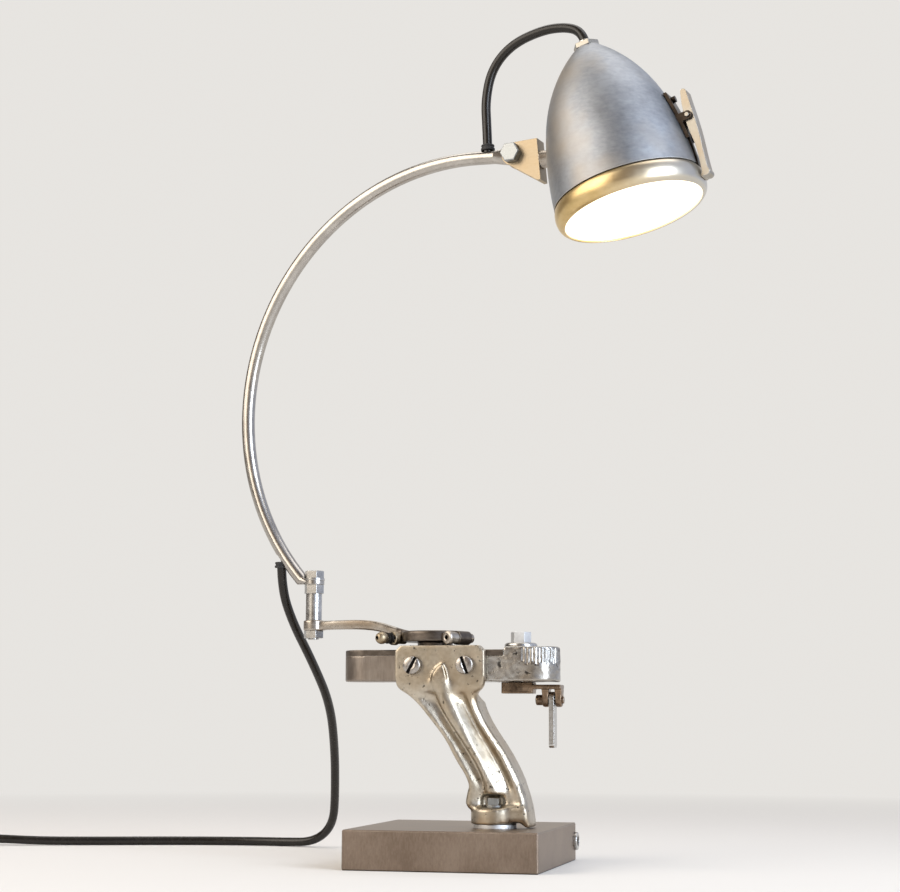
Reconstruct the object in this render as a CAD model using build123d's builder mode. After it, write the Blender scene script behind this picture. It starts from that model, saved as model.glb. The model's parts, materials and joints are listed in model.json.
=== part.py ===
"""Desk lamp on a steel block: a cast strut, a swivelling crank, a swept tube arm and a bell shade.

Millimetres, +Z up. The origin is the middle of the block's underside, +X towards the shade and
-Y towards the person who sits at the desk.
"""
from build123d import *
import os
from math import cos, pi, radians, sin, tan

os.makedirs("parts", exist_ok=True)

# ---------------------------------------------------------------- driving sizes
# Fits
running_fit = 0.05
thread_fit = 0.06
seat_gap = 0.3
flat_gap = 0.1

# Base block and what is in it
base_length = 140.0
base_depth = 150.0
base_height = 28.0
base_edge = 0.8
pad_thickness = 1.2
pad_margin = 9.0
bush_inset = 3.0
bush_y = base_depth / 2 - bush_inset
bush_z = 14.4
bush_bore_radius = 4.0
bush_body_radius = 5.2
bush_flange_radius = 6.7
bush_flange = 2.4
bush_depth = 16.0

# M8 fastenings, used at the foot, the arm's pivot, the shade's pivot and the cam shaft
bolt_radius = 4.0
hex_flats = 13.0
hex_height = 5.6
hex_bevel = 0.5
washer_thickness = 1.6

# Strut and its foot
foot_x = 28.0
foot_y = -20.0
foot_washer_radius = 15.5
foot_washer = 3.0
foot_boss_radius = 17.2
foot_boss = 11.4
foot_pocket_radius = 10.5
foot_pocket = 9.4
foot_thread = 18.0
flange_front = -31.0
strut_back = -4.0
strut_rib = 3.0
strut_skirt_x = 56.0

# Clamp plate on the strut's head
plate_left = -42.4
plate_right = 23.7
plate_bottom = 124.5
plate_top = 157.7
plate_face = -38.0
plate_thickness = 9.0
plate_corner = 8.0
screw_left_x = -28.9
screw_right_x = 10.0
screw_z = 143.2
screw_head_radius = 6.5
screw_head = 5.0
screw_radius = 3.0
screw_length = 24.0
slot_width = 2.2
slot_depth = 2.2
slot_left_angle = 62.0
slot_right_angle = 114.0

# Head body, a round-ended bar with a raised right end
body_left = -87.0
body_right = 73.8
body_depth = 37.0
body_bottom = 132.0
body_top = 150.5
raised_start = 36.0
raised_top = 157.2
flute_count = 13
flute_radius = 1.1
flute_height = 9.5
top_plate = 4.4

# Hub of the crank
hub_x = -19.3
hub_y = -10.0
hub_radius = 26.0
hub_disc = 7.7
hub_neck_radius = 13.0
hub_neck = 5.8
hub_screw_radius = 6.0
hub_screw_head_radius = 10.0
hub_screw_head = 3.6
hub_screw_depth = 14.0

# Crank lever from the hub to the arm's pivot
pivot_x = -113.1
pivot_y = -10.0
crank_eye_radius = 7.6
crank_eye = 8.0
crank_eye_z = 169.8
crank_width = 9.5
pivot_nut = 5.3
spacer_radius = 6.05
spacer = 19.9
jam_nut = 6.8

# Fittings on the hub
fitting_turn = 33.0
fitting_z = 163.3
fitting_radius = 4.4
fitting_ring = 0.6
fitting_face = 3.0
left_fitting_x = -54.3
left_fitting_y = -36.0
right_fitting_x = -4.0
right_fitting_y = -37.0
fitting_length = 25.0
lug_radius = 5.1

# Arm tube, drawn in an upright plane that is turned towards the viewer
arm_turn = 12.0
tube_radius = 5.0
tube_wall = 1.25
eye_thickness = 3.0
eye_radius = 7.6
arm_foot_reach = 10.4
arm_foot_rise = 2.2
arm_foot_heading = 133.3
arm_bend_radius = 184.0
arm_bend = 137.0
arm_straight = 30.0
flatten_length = 9.0
cord_hole_radius = 4.0
upper_hole_back = 22.8
lower_hole_turn = 7.2
lower_hole_offset = 3.5
wires_radius = 2.4

# Shade, measured down its own axis from the top and out from that axis
shade_tilt = 15.5
shade_reach = 74.2
shade_drop = 58.8
shell_wall = 1.2
shell_top = 3.0
crown_radius = 9.0
shoulder_radius = 28.4
shoulder_down = 24.0
waist_radius = 45.6
waist_down = 60.0
skirt_radius = 54.6
skirt_down = 118.5
spigot_radius = 52.6
spigot = 7.5
rim_radius = 55.7
rim_step = 1.5
rim_height = 18.8
rim_lip_radius = 50.6
rim_lip = 1.6
rim_bead = 8.0
lens_radius = 52.0
lens_thickness = 3.0
gasket_inner_radius = 49.4
gasket = 3.2
reflector_wall = 0.8
reflector_mouth_radius = 46.5
reflector_neck_radius = 24.0
reflector_neck_down = 64.0

# Lampholder, bulb and cable gland
gland_radius = 5.0
gland_bore_radius = 2.7
gland_rise = 3.0
gland_flats = 17.0
gland_lock_flats = 13.5
gland_nut = 3.6
holder_radius = 16.0
holder_wall = 2.6
holder_down = 15.0
holder_length = 34.0
bulb_cap_radius = 13.0
bulb_cap = 22.0
bulb_cap_wall = 0.6
bulb_wall = 1.0
bulb_radius = 22.0
bulb_down = 88.0

# Shade bracket
bracket_tilt = 10.2
bracket_reach = 55.6
bracket_down = 69.7
bracket_sheet = 2.5
bracket_gap = 8.0
bracket_up = 15.0
bracket_low = 16.5
ear_radius = 8.6
shade_screw_radius = 2.0
shade_screw_head_radius = 3.8
shade_screw_head = 2.4
shade_screw_length = 17.5
dome_radius = 7.0

# Latch that holds the rim
latch_width = 11.0
latch_sheet = 1.3
strap_width = 13.0
strap_sheet = 1.2
strap_start = 62.0
strap_end = 100.0
latch_pin_radius = 1.5
latch_pin_reach = 58.6
latch_pin_down = 84.0
rivet_radius = 2.4
rivet_margin = 4.5
rivet_reach = 49.0
rivet_head = 3.4

# Cam shaft, its arm, the clevis and the hanging tag
cam_x = 45.1
cam_y = -10.0
cam_washer_radius = 12.0
cam_washer = 3.0
cam_head = 7.8
cam_arm_width = 14.0
cam_arm = 8.2
cam_arm_back = 13.4
cam_arm_front = 10.0
tongue = 3.2
tongue_end = 30.4
ear_inner = 16.1
clevis_ear = 5.1
clevis_slot = 4.3
clevis_width = 15.0
clevis_pin_radius = 2.5
clevis_pin_head_radius = 3.8
clevis_pin_head = 5.0
clevis_pin_z = 118.9
tag_thickness = 3.7
tag_width = 12.0
tag_drop = 34.1

# Cord
cord_radius = 3.5
switch_length = 60.0
switch_width = 26.0
switch_height = 17.0
switch_split = 8.5
switch_wall = 2.0
rocker_radius = 7.4
rocker_width = 9.0
rocker_pivot_z = 14.5
rocker_bottom = 10.5
rocker_top = 19.0
rocker_dip = 1.3
rocker_lean = 7.0
rocker_pin_radius = 1.2
rocker_pin = 1.8
coil_x = -534.0
coil_y = 44.0
coil_radius = 38.5
coil_band = 15.0
coil_height = 16.0
plug_width = 35.3
plug_thickness = 13.7
plug_length = 36.0
plug_pin_radius = 2.0
plug_pin_length = 19.0
plug_pin_pitch = 19.0

# ---------------------------------------------------------------- places worked out from the sizes
body_y = hub_y
body_radius = body_depth / 2
body_front = body_y - body_radius
plate_back = plate_face + plate_thickness
boss_bottom = base_height + foot_washer
boss_top = boss_bottom + foot_boss
top_plate_top = body_top + top_plate
neck_bottom = top_plate_top + seat_gap
disc_bottom = neck_bottom + hub_neck
disc_top = disc_bottom + hub_disc
crank_eye_top = crank_eye_z + crank_eye
spacer_top = crank_eye_top + spacer
jam_nut_top = spacer_top + jam_nut
arm_eye_z = jam_nut_top + running_fit
arm_eye_top = arm_eye_z + eye_thickness
raised_end_x = body_right - body_radius
cam_arm_top = body_bottom - seat_gap
cam_arm_bottom = cam_arm_top - cam_arm


def upright(y):
    """Plane that faces the front at a depth y, with local y up."""
    return Plane.XZ.offset(-y)


def level(z):
    return Plane.XY.offset(z)


def pair(vector):
    """Local coordinates of a point on a plane, as builders read them."""
    return (vector.X, vector.Y)


# The arm's plane: local x runs out from the pivot, local y is up, local z points to the viewer.
arm_out = Vector(cos(radians(arm_turn)), -sin(radians(arm_turn)), 0)
arm_normal = Vector(-sin(radians(arm_turn)), -cos(radians(arm_turn)), 0)
arm_plane = Plane(origin=(pivot_x, pivot_y, 0), x_dir=arm_out, z_dir=arm_normal)

arm_foot = Vector(-arm_foot_reach, arm_eye_z + arm_foot_rise + eye_thickness / 2)
foot_turn = radians(arm_foot_heading)
bend_end_heading = radians(arm_foot_heading - arm_bend)
bend_centre = arm_foot + arm_bend_radius * Vector(sin(foot_turn), -cos(foot_turn))
bend_end = bend_centre + arm_bend_radius * Vector(-sin(bend_end_heading), cos(bend_end_heading))
straight_way = Vector(cos(bend_end_heading), sin(bend_end_heading))
top_eye = bend_end + arm_straight * straight_way

# The shade's plane: local x is across, local y is up its axis, and its top is at the origin.
tilt = radians(shade_tilt)
shade_across = Vector(cos(tilt), sin(tilt))
shade_down_way = Vector(sin(tilt), -cos(tilt))
shade_top = top_eye + shade_reach * shade_across - shade_drop * shade_down_way
shade_plane = Plane(
    origin=arm_plane.from_local_coords(shade_top),
    x_dir=shade_across.X * arm_out + Vector(0, 0, shade_across.Y),
    z_dir=arm_normal,
)
shade_axis = Axis(shade_plane.origin, shade_plane.y_dir)


def across_shade(down):
    """Plane square to the shade's axis, facing up it, at a distance below its top."""
    return Plane(
        origin=shade_plane.from_local_coords((0, -down, 0)),
        x_dir=shade_plane.x_dir,
        z_dir=shade_plane.y_dir,
    )


# The bracket's plane: local x points into the shade from the bracket's inner face.
bracket_angle = radians(-bracket_tilt)
bracket_plane = Plane(
    origin=shade_plane.from_local_coords((-bracket_reach, -bracket_down, 0)),
    x_dir=cos(bracket_angle) * shade_plane.x_dir + sin(bracket_angle) * shade_plane.y_dir,
    z_dir=arm_normal,
)
into_shade = Plane(
    origin=bracket_plane.origin,
    x_dir=bracket_plane.z_dir,
    z_dir=bracket_plane.x_dir,
)
shade_bolt_at = bracket_plane.to_local_coords(arm_plane.from_local_coords(top_eye))


def write(piece, label):
    """Label a finished piece and write it as a STEP file."""
    piece.part.label = label
    export_step(piece.part, f"parts/{label}.step")


def hexagon(flats):
    return RegularPolygon(radius=flats / 2, side_count=6, major_radius=False)


def shell_line():
    """Outer outline of the shade's shell, from its crown to its skirt."""
    Line((gland_radius + running_fit, -shell_top), (crown_radius, -shell_top))
    dome = ThreePointArc(
        (crown_radius, -shell_top),
        (shoulder_radius, -shoulder_down),
        (waist_radius, -waist_down),
    )
    TangentArc((waist_radius, -waist_down), (skirt_radius, -skirt_down), tangent=dome % 1)


def cord_path(points):
    """Straight runs joined by tangent arcs, each as large as its two runs allow."""
    route = [Vector(point) for point in points]
    radii = []
    for before, corner, after in zip(route, route[1:], route[2:]):
        run_in = corner - before
        run_out = after - corner
        shorter = min(run_in.length, run_out.length)
        turn = radians(run_in.get_angle(run_out))
        radii.append(0.45 * shorter / tan(turn / 2))
    return FilletPolyline(*route, radius=radii), radii


def cord_tube(label, points):
    """One stretch of cord as a tube, with its radii and its volume printed for checking."""
    with BuildPart() as tube:
        with BuildLine():
            path, radii = cord_path(points)
        first = Vector(points[0])
        with BuildSketch(Plane(origin=first, z_dir=Vector(points[1]) - first)):
            Circle(cord_radius)
        sweep(path=path)
    section = pi * cord_radius**2
    print(label, "length", round(path.length, 1), "radii", [round(r, 1) for r in radii])
    print(label, "volume", round(tube.part.volume), "expected", round(section * path.length))
    write(tube, label)


# ---------------------------------------------------------------- base block
with BuildPart() as base:
    with BuildSketch():
        Rectangle(base_length, base_depth)
    extrude(amount=base_height)
    chamfer(base.edges(), base_edge)
    with BuildSketch():
        Rectangle(base_length - 2 * pad_margin, base_depth - 2 * pad_margin)
    extrude(amount=pad_thickness, mode=Mode.SUBTRACT)
    with Locations((foot_x, foot_y, base_height)):
        Hole(bolt_radius + thread_fit, foot_thread)
    with BuildSketch(Plane.YZ.offset(base_length / 2)):
        with Locations((bush_y, bush_z)):
            Circle(bush_body_radius + running_fit)
    extrude(amount=-bush_depth, mode=Mode.SUBTRACT)
write(base, "base_block")

with BuildPart() as pad:
    with BuildSketch():
        RectangleRounded(
            base_length - 2 * pad_margin - seat_gap, base_depth - 2 * pad_margin - seat_gap, 1.0
        )
    extrude(amount=pad_thickness)
write(pad, "base_pad")

with BuildPart() as side_bush:
    with BuildSketch(Plane.YZ.offset(base_length / 2 - bush_depth)):
        with Locations((bush_y, bush_z)):
            Circle(bush_body_radius)
    extrude(amount=bush_depth)
    with BuildSketch(Plane.YZ.offset(base_length / 2)):
        with Locations((bush_y, bush_z)):
            Circle(bush_flange_radius)
    extrude(amount=bush_flange)
    fillet(side_bush.edges().group_by(Axis.X)[-1], bush_flange / 3)
    with BuildSketch(Plane.YZ.offset(base_length / 2 - bush_depth)):
        with Locations((bush_y, bush_z)):
            Circle(bush_bore_radius)
    extrude(amount=bush_depth + bush_flange, mode=Mode.SUBTRACT)
write(side_bush, "side_bush")

# ---------------------------------------------------------------- foot fastening
with BuildPart() as foot_washer_ring:
    with BuildSketch(level(base_height)):
        with Locations((foot_x, foot_y)):
            Circle(foot_washer_radius)
            Circle(bolt_radius + seat_gap, mode=Mode.SUBTRACT)
    extrude(amount=foot_washer)
    chamfer(foot_washer_ring.edges().group_by(Axis.Z)[-1].sort_by(SortBy.LENGTH)[-1], 0.4)
write(foot_washer_ring, "foot_washer")

with BuildPart() as foot_bolt:
    with BuildSketch(level(boss_top)):
        with Locations((foot_x, foot_y)):
            Circle(hex_flats / 2 + 1.5)
    extrude(amount=washer_thickness)
    with BuildSketch(level(boss_top + washer_thickness)):
        with Locations((foot_x, foot_y)):
            hexagon(hex_flats)
    extrude(amount=hex_height)
    chamfer(foot_bolt.edges().group_by(Axis.Z)[-1], hex_bevel)
    with BuildSketch(level(boss_top)):
        with Locations((foot_x, foot_y)):
            Circle(bolt_radius)
    extrude(amount=-(foot_boss + foot_washer + foot_thread - 1.5))
write(foot_bolt, "foot_bolt")

# ---------------------------------------------------------------- strut
# Each section: height, left edge, ridge from and to, right edge, then how far each comes forward.
strut_sections = [
    (128.0, -41.0, -13.5, -3.0, 20.5, -37.0, -35.0, -41.0),
    (120.5, -31.5, -11.5, -0.5, 16.8, -36.0, -32.5, -41.0),
    (113.0, -23.5, -8.3, 3.3, 18.8, -35.0, -31.0, -40.5),
    (103.0, -15.5, -2.5, 8.2, 23.5, -34.0, -30.0, -40.0),
    (92.0, -7.2, 4.8, 13.4, 30.6, -33.0, -29.0, -39.0),
    (80.5, -0.8, 12.2, 19.6, 38.2, -32.0, -28.0, -38.0),
    (69.0, 6.0, 18.7, 25.8, 44.4, -31.5, -27.5, -37.0),
    (57.0, 10.7, 22.8, 31.6, 49.6, -31.0, -27.0, -36.0),
    (boss_top, 11.4, 24.0, 34.0, 54.0, -31.0, -27.0, -34.0),
]
# The ridge's rounded peak on the plate, up its left side and down its right
peak_left = [(-13.6, 127.0), (-14.6, 134.0), (-11.6, 140.5), (-7.0, 144.2)]
peak_right = [(-7.0, 144.2), (-4.6, 139.0), (-3.4, 132.0), (-3.0, 127.0)]

with BuildPart() as strut:
    # Casting: left web, middle ridge, channel and right flange, section by section
    for height, left, ridge_from, ridge_to, right, flange, valley, ridge in strut_sections:
        with BuildSketch(level(height)):
            with BuildLine():
                Polyline(
                    (left, strut_back),
                    (left, flange),
                    (left + 3.0, flange - 0.8),
                    (ridge_from - 0.8, valley),
                    (ridge_from + 1.6, ridge + 1.0),
                    ((ridge_from + ridge_to) / 2, ridge),
                    (ridge_to - 1.0, ridge + 1.2),
                    (0.55 * ridge_to + 0.45 * right, valley),
                    (right - 4.5, flange - 0.8),
                    (right, flange + 2.5),
                    (right, strut_back),
                    close=True,
                )
            make_face()
    loft()
    # Skirt that runs down behind the boss to the block
    with BuildSketch(upright(flange_front)):
        with BuildLine():
            Polyline(
                (foot_x, boss_top),
                (strut_sections[-1][4], boss_top),
                (strut_skirt_x, base_height + flat_gap),
                (strut_skirt_x - 3.0, base_height + flat_gap),
                (foot_x + foot_boss_radius - 0.5, boss_bottom + 3.5),
                (foot_x, boss_bottom + 3.5),
                close=True,
            )
        make_face()
    extrude(amount=strut_back - flange_front, dir=(0, 1, 0))
    # Rounded peak of the ridge, between the plate's screws
    with BuildSketch(upright(plate_face)):
        with BuildLine():
            Spline(*peak_left)
            Spline(*peak_right)
            Line(peak_right[-1], peak_left[0])
        make_face()
    extrude(amount=strut_rib)
    # Round boss on the foot washer
    with BuildSketch(level(boss_bottom)):
        with Locations((foot_x, foot_y)):
            Circle(foot_boss_radius)
    extrude(amount=foot_boss)
    # Pocket for the foot bolt's head, open to the front
    with BuildSketch(level(boss_top)):
        with Locations((foot_x, foot_y)):
            Circle(foot_pocket_radius)
        with Locations((foot_x, foot_y - foot_boss_radius)):
            Rectangle(2 * foot_pocket_radius, 2 * foot_boss_radius)
    extrude(amount=foot_pocket, mode=Mode.SUBTRACT)
    with Locations((foot_x, foot_y, boss_top)):
        Hole(bolt_radius + seat_gap, 2 * foot_boss)
    # Clamp plate with clipped corners
    with BuildSketch(upright(plate_face)):
        middle = ((plate_left + plate_right) / 2, (plate_bottom + plate_top) / 2)
        with Locations(middle):
            Rectangle(plate_right - plate_left, plate_top - plate_bottom)
        chamfer(vertices(), plate_corner / 2)
    extrude(amount=plate_thickness, dir=(0, 1, 0))
    with BuildSketch(upright(plate_face)):
        with Locations((screw_left_x, screw_z), (screw_right_x, screw_z)):
            Circle(screw_radius + seat_gap)
    extrude(amount=plate_thickness, dir=(0, 1, 0), mode=Mode.SUBTRACT)
write(strut, "strut")

with BuildPart() as plate_screws:
    screws = ((screw_left_x, slot_left_angle), (screw_right_x, slot_right_angle))
    for x, angle in screws:
        with BuildSketch(upright(plate_face)):
            with Locations((x, screw_z)):
                Circle(screw_head_radius)
        extrude(amount=screw_head)
        with BuildSketch(upright(plate_face)):
            with Locations((x, screw_z)):
                Circle(screw_radius)
        extrude(amount=-screw_length)
    fillet(plate_screws.edges().group_by(Axis.Y)[0], 0.8)
    for x, angle in screws:
        with BuildSketch(upright(plate_face - screw_head)):
            with Locations((x, screw_z)):
                Rectangle(3 * screw_head_radius, slot_width, rotation=angle)
        extrude(amount=-slot_depth, mode=Mode.SUBTRACT)
write(plate_screws, "plate_screws")

# ---------------------------------------------------------------- head body and its top plate
with BuildPart() as head_body:
    with BuildSketch(level(body_bottom)) as bar:
        with Locations(((body_left + body_right) / 2, body_y)):
            SlotOverall(body_right - body_left, body_depth)
    extrude(amount=body_top - body_bottom)
    with BuildSketch(level(body_top)):
        add(bar.sketch.moved(Location((0, 0, body_top - body_bottom))))
        with Locations(((body_left + raised_start) / 2, body_y)):
            Rectangle(raised_start - body_left, body_depth, mode=Mode.SUBTRACT)
    extrude(amount=raised_top - body_top)
    fillet(head_body.edges().group_by(Axis.Z)[-1], 2.0)
    fillet(head_body.edges().group_by(Axis.Z)[0], 1.0)
    # Vertical flutes round the raised end
    with BuildSketch(level(raised_top - flute_height)):
        for step in range(flute_count):
            turn = radians(-84 + 168 * step / (flute_count - 1))
            at = (
                raised_end_x + (body_radius + 0.4 * flute_radius) * cos(turn),
                body_y + (body_radius + 0.4 * flute_radius) * sin(turn),
            )
            with Locations(at):
                Circle(flute_radius)
    extrude(amount=flute_height, mode=Mode.SUBTRACT)
    with Locations((hub_x, hub_y, body_top)):
        Hole(hub_screw_radius + thread_fit, hub_screw_depth)
    with Locations((cam_x, cam_y, raised_top)):
        Hole(bolt_radius + running_fit)
    with BuildSketch(upright(body_front)):
        with Locations((screw_left_x, screw_z), (screw_right_x, screw_z)):
            Circle(screw_radius + thread_fit)
    extrude(amount=-(screw_length - plate_thickness + 1), mode=Mode.SUBTRACT)
write(head_body, "head_body")

with BuildPart() as cover_plate:
    with BuildSketch(level(body_top)):
        with Locations(((body_left + body_right) / 2, body_y)):
            SlotOverall(body_right - body_left, body_depth)
        with Locations((raised_start + body_depth, body_y)):
            Rectangle(2 * body_depth + 2 * flat_gap, 2 * body_depth, mode=Mode.SUBTRACT)
        with Locations((hub_x, hub_y)):
            Circle(hub_screw_radius + thread_fit, mode=Mode.SUBTRACT)
    extrude(amount=top_plate)
    fillet(cover_plate.edges().group_by(Axis.Z)[-1].filter_by_position(Axis.X, body_left, 0), 0.8)
write(cover_plate, "top_plate")

hub_screw_seat = disc_top - flat_gap - hub_screw_head
with BuildPart() as hub_screw:
    with BuildSketch(level(hub_screw_seat)):
        with Locations((hub_x, hub_y)):
            Circle(hub_screw_head_radius)
    extrude(amount=hub_screw_head)
    chamfer(hub_screw.edges().group_by(Axis.Z)[-1], 0.6)
    with BuildSketch(level(body_top - hub_screw_depth + 1)):
        with Locations((hub_x, hub_y)):
            Circle(hub_screw_radius)
    extrude(amount=hub_screw_seat - body_top + hub_screw_depth - 1)
write(hub_screw, "hub_screw")

# ---------------------------------------------------------------- crank: hub disc, bar and eye
fitting_angle = radians(fitting_turn)
fitting_way = Vector(sin(fitting_angle), cos(fitting_angle), 0)
left_fitting_at = Vector(left_fitting_x, left_fitting_y, fitting_z)
right_fitting_at = Vector(right_fitting_x, right_fitting_y, fitting_z)


def fitting_plane(start, along):
    """Plane across a fitting at a distance behind its tip, facing inwards."""
    return Plane(origin=start + along * fitting_way, z_dir=fitting_way)


bar_middle = crank_eye_z + crank_eye / 2
bar_top = [
    (pivot_x, bar_middle + 3.4),
    (pivot_x + 32, bar_middle + 4.0),
    (pivot_x + 52, bar_middle + 2.2),
    (hub_x - hub_radius, disc_top + 2.4),
    (hub_x - hub_radius / 2, disc_top),
]
bar_bottom = [
    (hub_x - hub_radius / 2, disc_bottom + 1),
    (hub_x - hub_radius, disc_bottom + 3.4),
    (pivot_x + 52, bar_middle - 5.0),
    (pivot_x + 32, bar_middle - 3.0),
    (pivot_x, bar_middle - 3.4),
]
with BuildPart() as crank:
    with BuildSketch(level(disc_bottom)):
        with Locations((hub_x, hub_y)):
            Circle(hub_radius)
    extrude(amount=hub_disc)
    fillet(crank.edges().group_by(Axis.Z)[-1], 1.6)
    with BuildSketch(level(neck_bottom)):
        with Locations((hub_x, hub_y)):
            Circle(hub_neck_radius)
    extrude(amount=hub_neck)
    with BuildSketch(upright(pivot_y - crank_width / 2)):
        with BuildLine():
            Spline(*bar_top)
            Line(bar_top[-1], bar_bottom[0])
            Spline(*bar_bottom)
            Line(bar_bottom[-1], bar_top[0])
        make_face()
    extrude(amount=-crank_width)
    with BuildSketch(level(crank_eye_z)):
        with Locations((pivot_x, pivot_y)):
            Circle(crank_eye_radius)
    extrude(amount=crank_eye)
    # Lug that holds the right fitting
    with BuildSketch(fitting_plane(right_fitting_at, 0.35 * fitting_length)):
        Circle(lug_radius)
    extrude(amount=0.5 * fitting_length)
    with BuildSketch(level(neck_bottom - lug_radius)):
        Rectangle(4 * body_depth, 4 * body_depth)
    extrude(amount=lug_radius, mode=Mode.SUBTRACT)
    # Bores
    with Locations((pivot_x, pivot_y, crank_eye_top)):
        Hole(bolt_radius + running_fit, 2 * crank_eye)
    with BuildSketch(level(neck_bottom)):
        with Locations((hub_x, hub_y)):
            Circle(hub_screw_radius + running_fit)
    extrude(amount=hub_neck + hub_disc, mode=Mode.SUBTRACT)
    with BuildSketch(level(hub_screw_seat - flat_gap)):
        with Locations((hub_x, hub_y)):
            Circle(hub_screw_head_radius + seat_gap)
    extrude(amount=hub_disc, mode=Mode.SUBTRACT)
    for start in (left_fitting_at, right_fitting_at):
        with BuildSketch(fitting_plane(start, 0)):
            Circle(fitting_radius + running_fit)
        extrude(amount=fitting_length + 0.5, mode=Mode.SUBTRACT)
        with BuildSketch(fitting_plane(start, -fitting_radius)):
            Circle(fitting_radius + fitting_ring + seat_gap)
        extrude(amount=fitting_radius + fitting_face + seat_gap, mode=Mode.SUBTRACT)
write(crank, "crank_lever")

with BuildPart() as left_fitting:
    with BuildSketch(fitting_plane(left_fitting_at, 0)):
        Circle(fitting_radius - 1.2)
    extrude(amount=fitting_length)
    with Locations(left_fitting_at):
        Sphere(fitting_radius)
    for along in (5.4, 7.8):
        with BuildSketch(fitting_plane(left_fitting_at, along)):
            Circle(fitting_radius - 0.3)
        extrude(amount=1.2)
    with BuildSketch(fitting_plane(left_fitting_at, 10.8)):
        Circle(fitting_radius + 0.5)
    extrude(amount=3.2)
    with BuildSketch(fitting_plane(left_fitting_at, 14.0)):
        Circle(fitting_radius)
    extrude(amount=fitting_length - 14.0)
    with BuildSketch(fitting_plane(left_fitting_at, -fitting_radius)):
        Circle(0.9)
    extrude(amount=5.0, mode=Mode.SUBTRACT)
write(left_fitting, "left_fitting")

with BuildPart() as right_fitting:
    with BuildSketch(fitting_plane(right_fitting_at, 0)):
        Circle(fitting_radius + fitting_ring)
    extrude(amount=fitting_face)
    fillet(right_fitting.edges().group_by(Axis(right_fitting_at, fitting_way))[0], 0.8)
    with BuildSketch(fitting_plane(right_fitting_at, fitting_face)):
        Circle(fitting_radius)
    extrude(amount=fitting_length - fitting_face)
    with BuildSketch(fitting_plane(right_fitting_at, 0)):
        Circle(1.4)
    extrude(amount=8.0, mode=Mode.SUBTRACT)
write(right_fitting, "right_fitting")

# ---------------------------------------------------------------- bolt, spacer and nuts of the arm's pivot
pivot_low = crank_eye_z - pivot_nut
pivot_head_seat = arm_eye_top + running_fit + washer_thickness
with BuildPart() as arm_bolt:
    with BuildSketch(level(pivot_head_seat)):
        with Locations((pivot_x, pivot_y)):
            hexagon(hex_flats)
    extrude(amount=hex_height)
    chamfer(arm_bolt.edges().group_by(Axis.Z)[-1], hex_bevel)
    with BuildSketch(level(pivot_low - 1)):
        with Locations((pivot_x, pivot_y)):
            Circle(bolt_radius)
    extrude(amount=pivot_head_seat - pivot_low + 1)
write(arm_bolt, "arm_bolt")

with BuildPart() as arm_washer:
    with BuildSketch(level(arm_eye_top + running_fit)):
        with Locations((pivot_x, pivot_y)):
            Circle(hex_flats / 2 + 1.4)
            Circle(bolt_radius + running_fit, mode=Mode.SUBTRACT)
    extrude(amount=washer_thickness)
write(arm_washer, "arm_washer")

with BuildPart() as arm_nuts:
    for bottom, height in ((pivot_low, pivot_nut), (spacer_top, jam_nut)):
        with BuildSketch(level(bottom)):
            with Locations((pivot_x, pivot_y)):
                hexagon(hex_flats)
                Circle(bolt_radius + thread_fit, mode=Mode.SUBTRACT)
        extrude(amount=height)
write(arm_nuts, "arm_nuts")

with BuildPart() as spacer_tube:
    with BuildSketch(level(crank_eye_top)):
        with Locations((pivot_x, pivot_y)):
            Circle(spacer_radius)
            Circle(bolt_radius + thread_fit, mode=Mode.SUBTRACT)
    extrude(amount=spacer)
write(spacer_tube, "arm_spacer")

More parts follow.
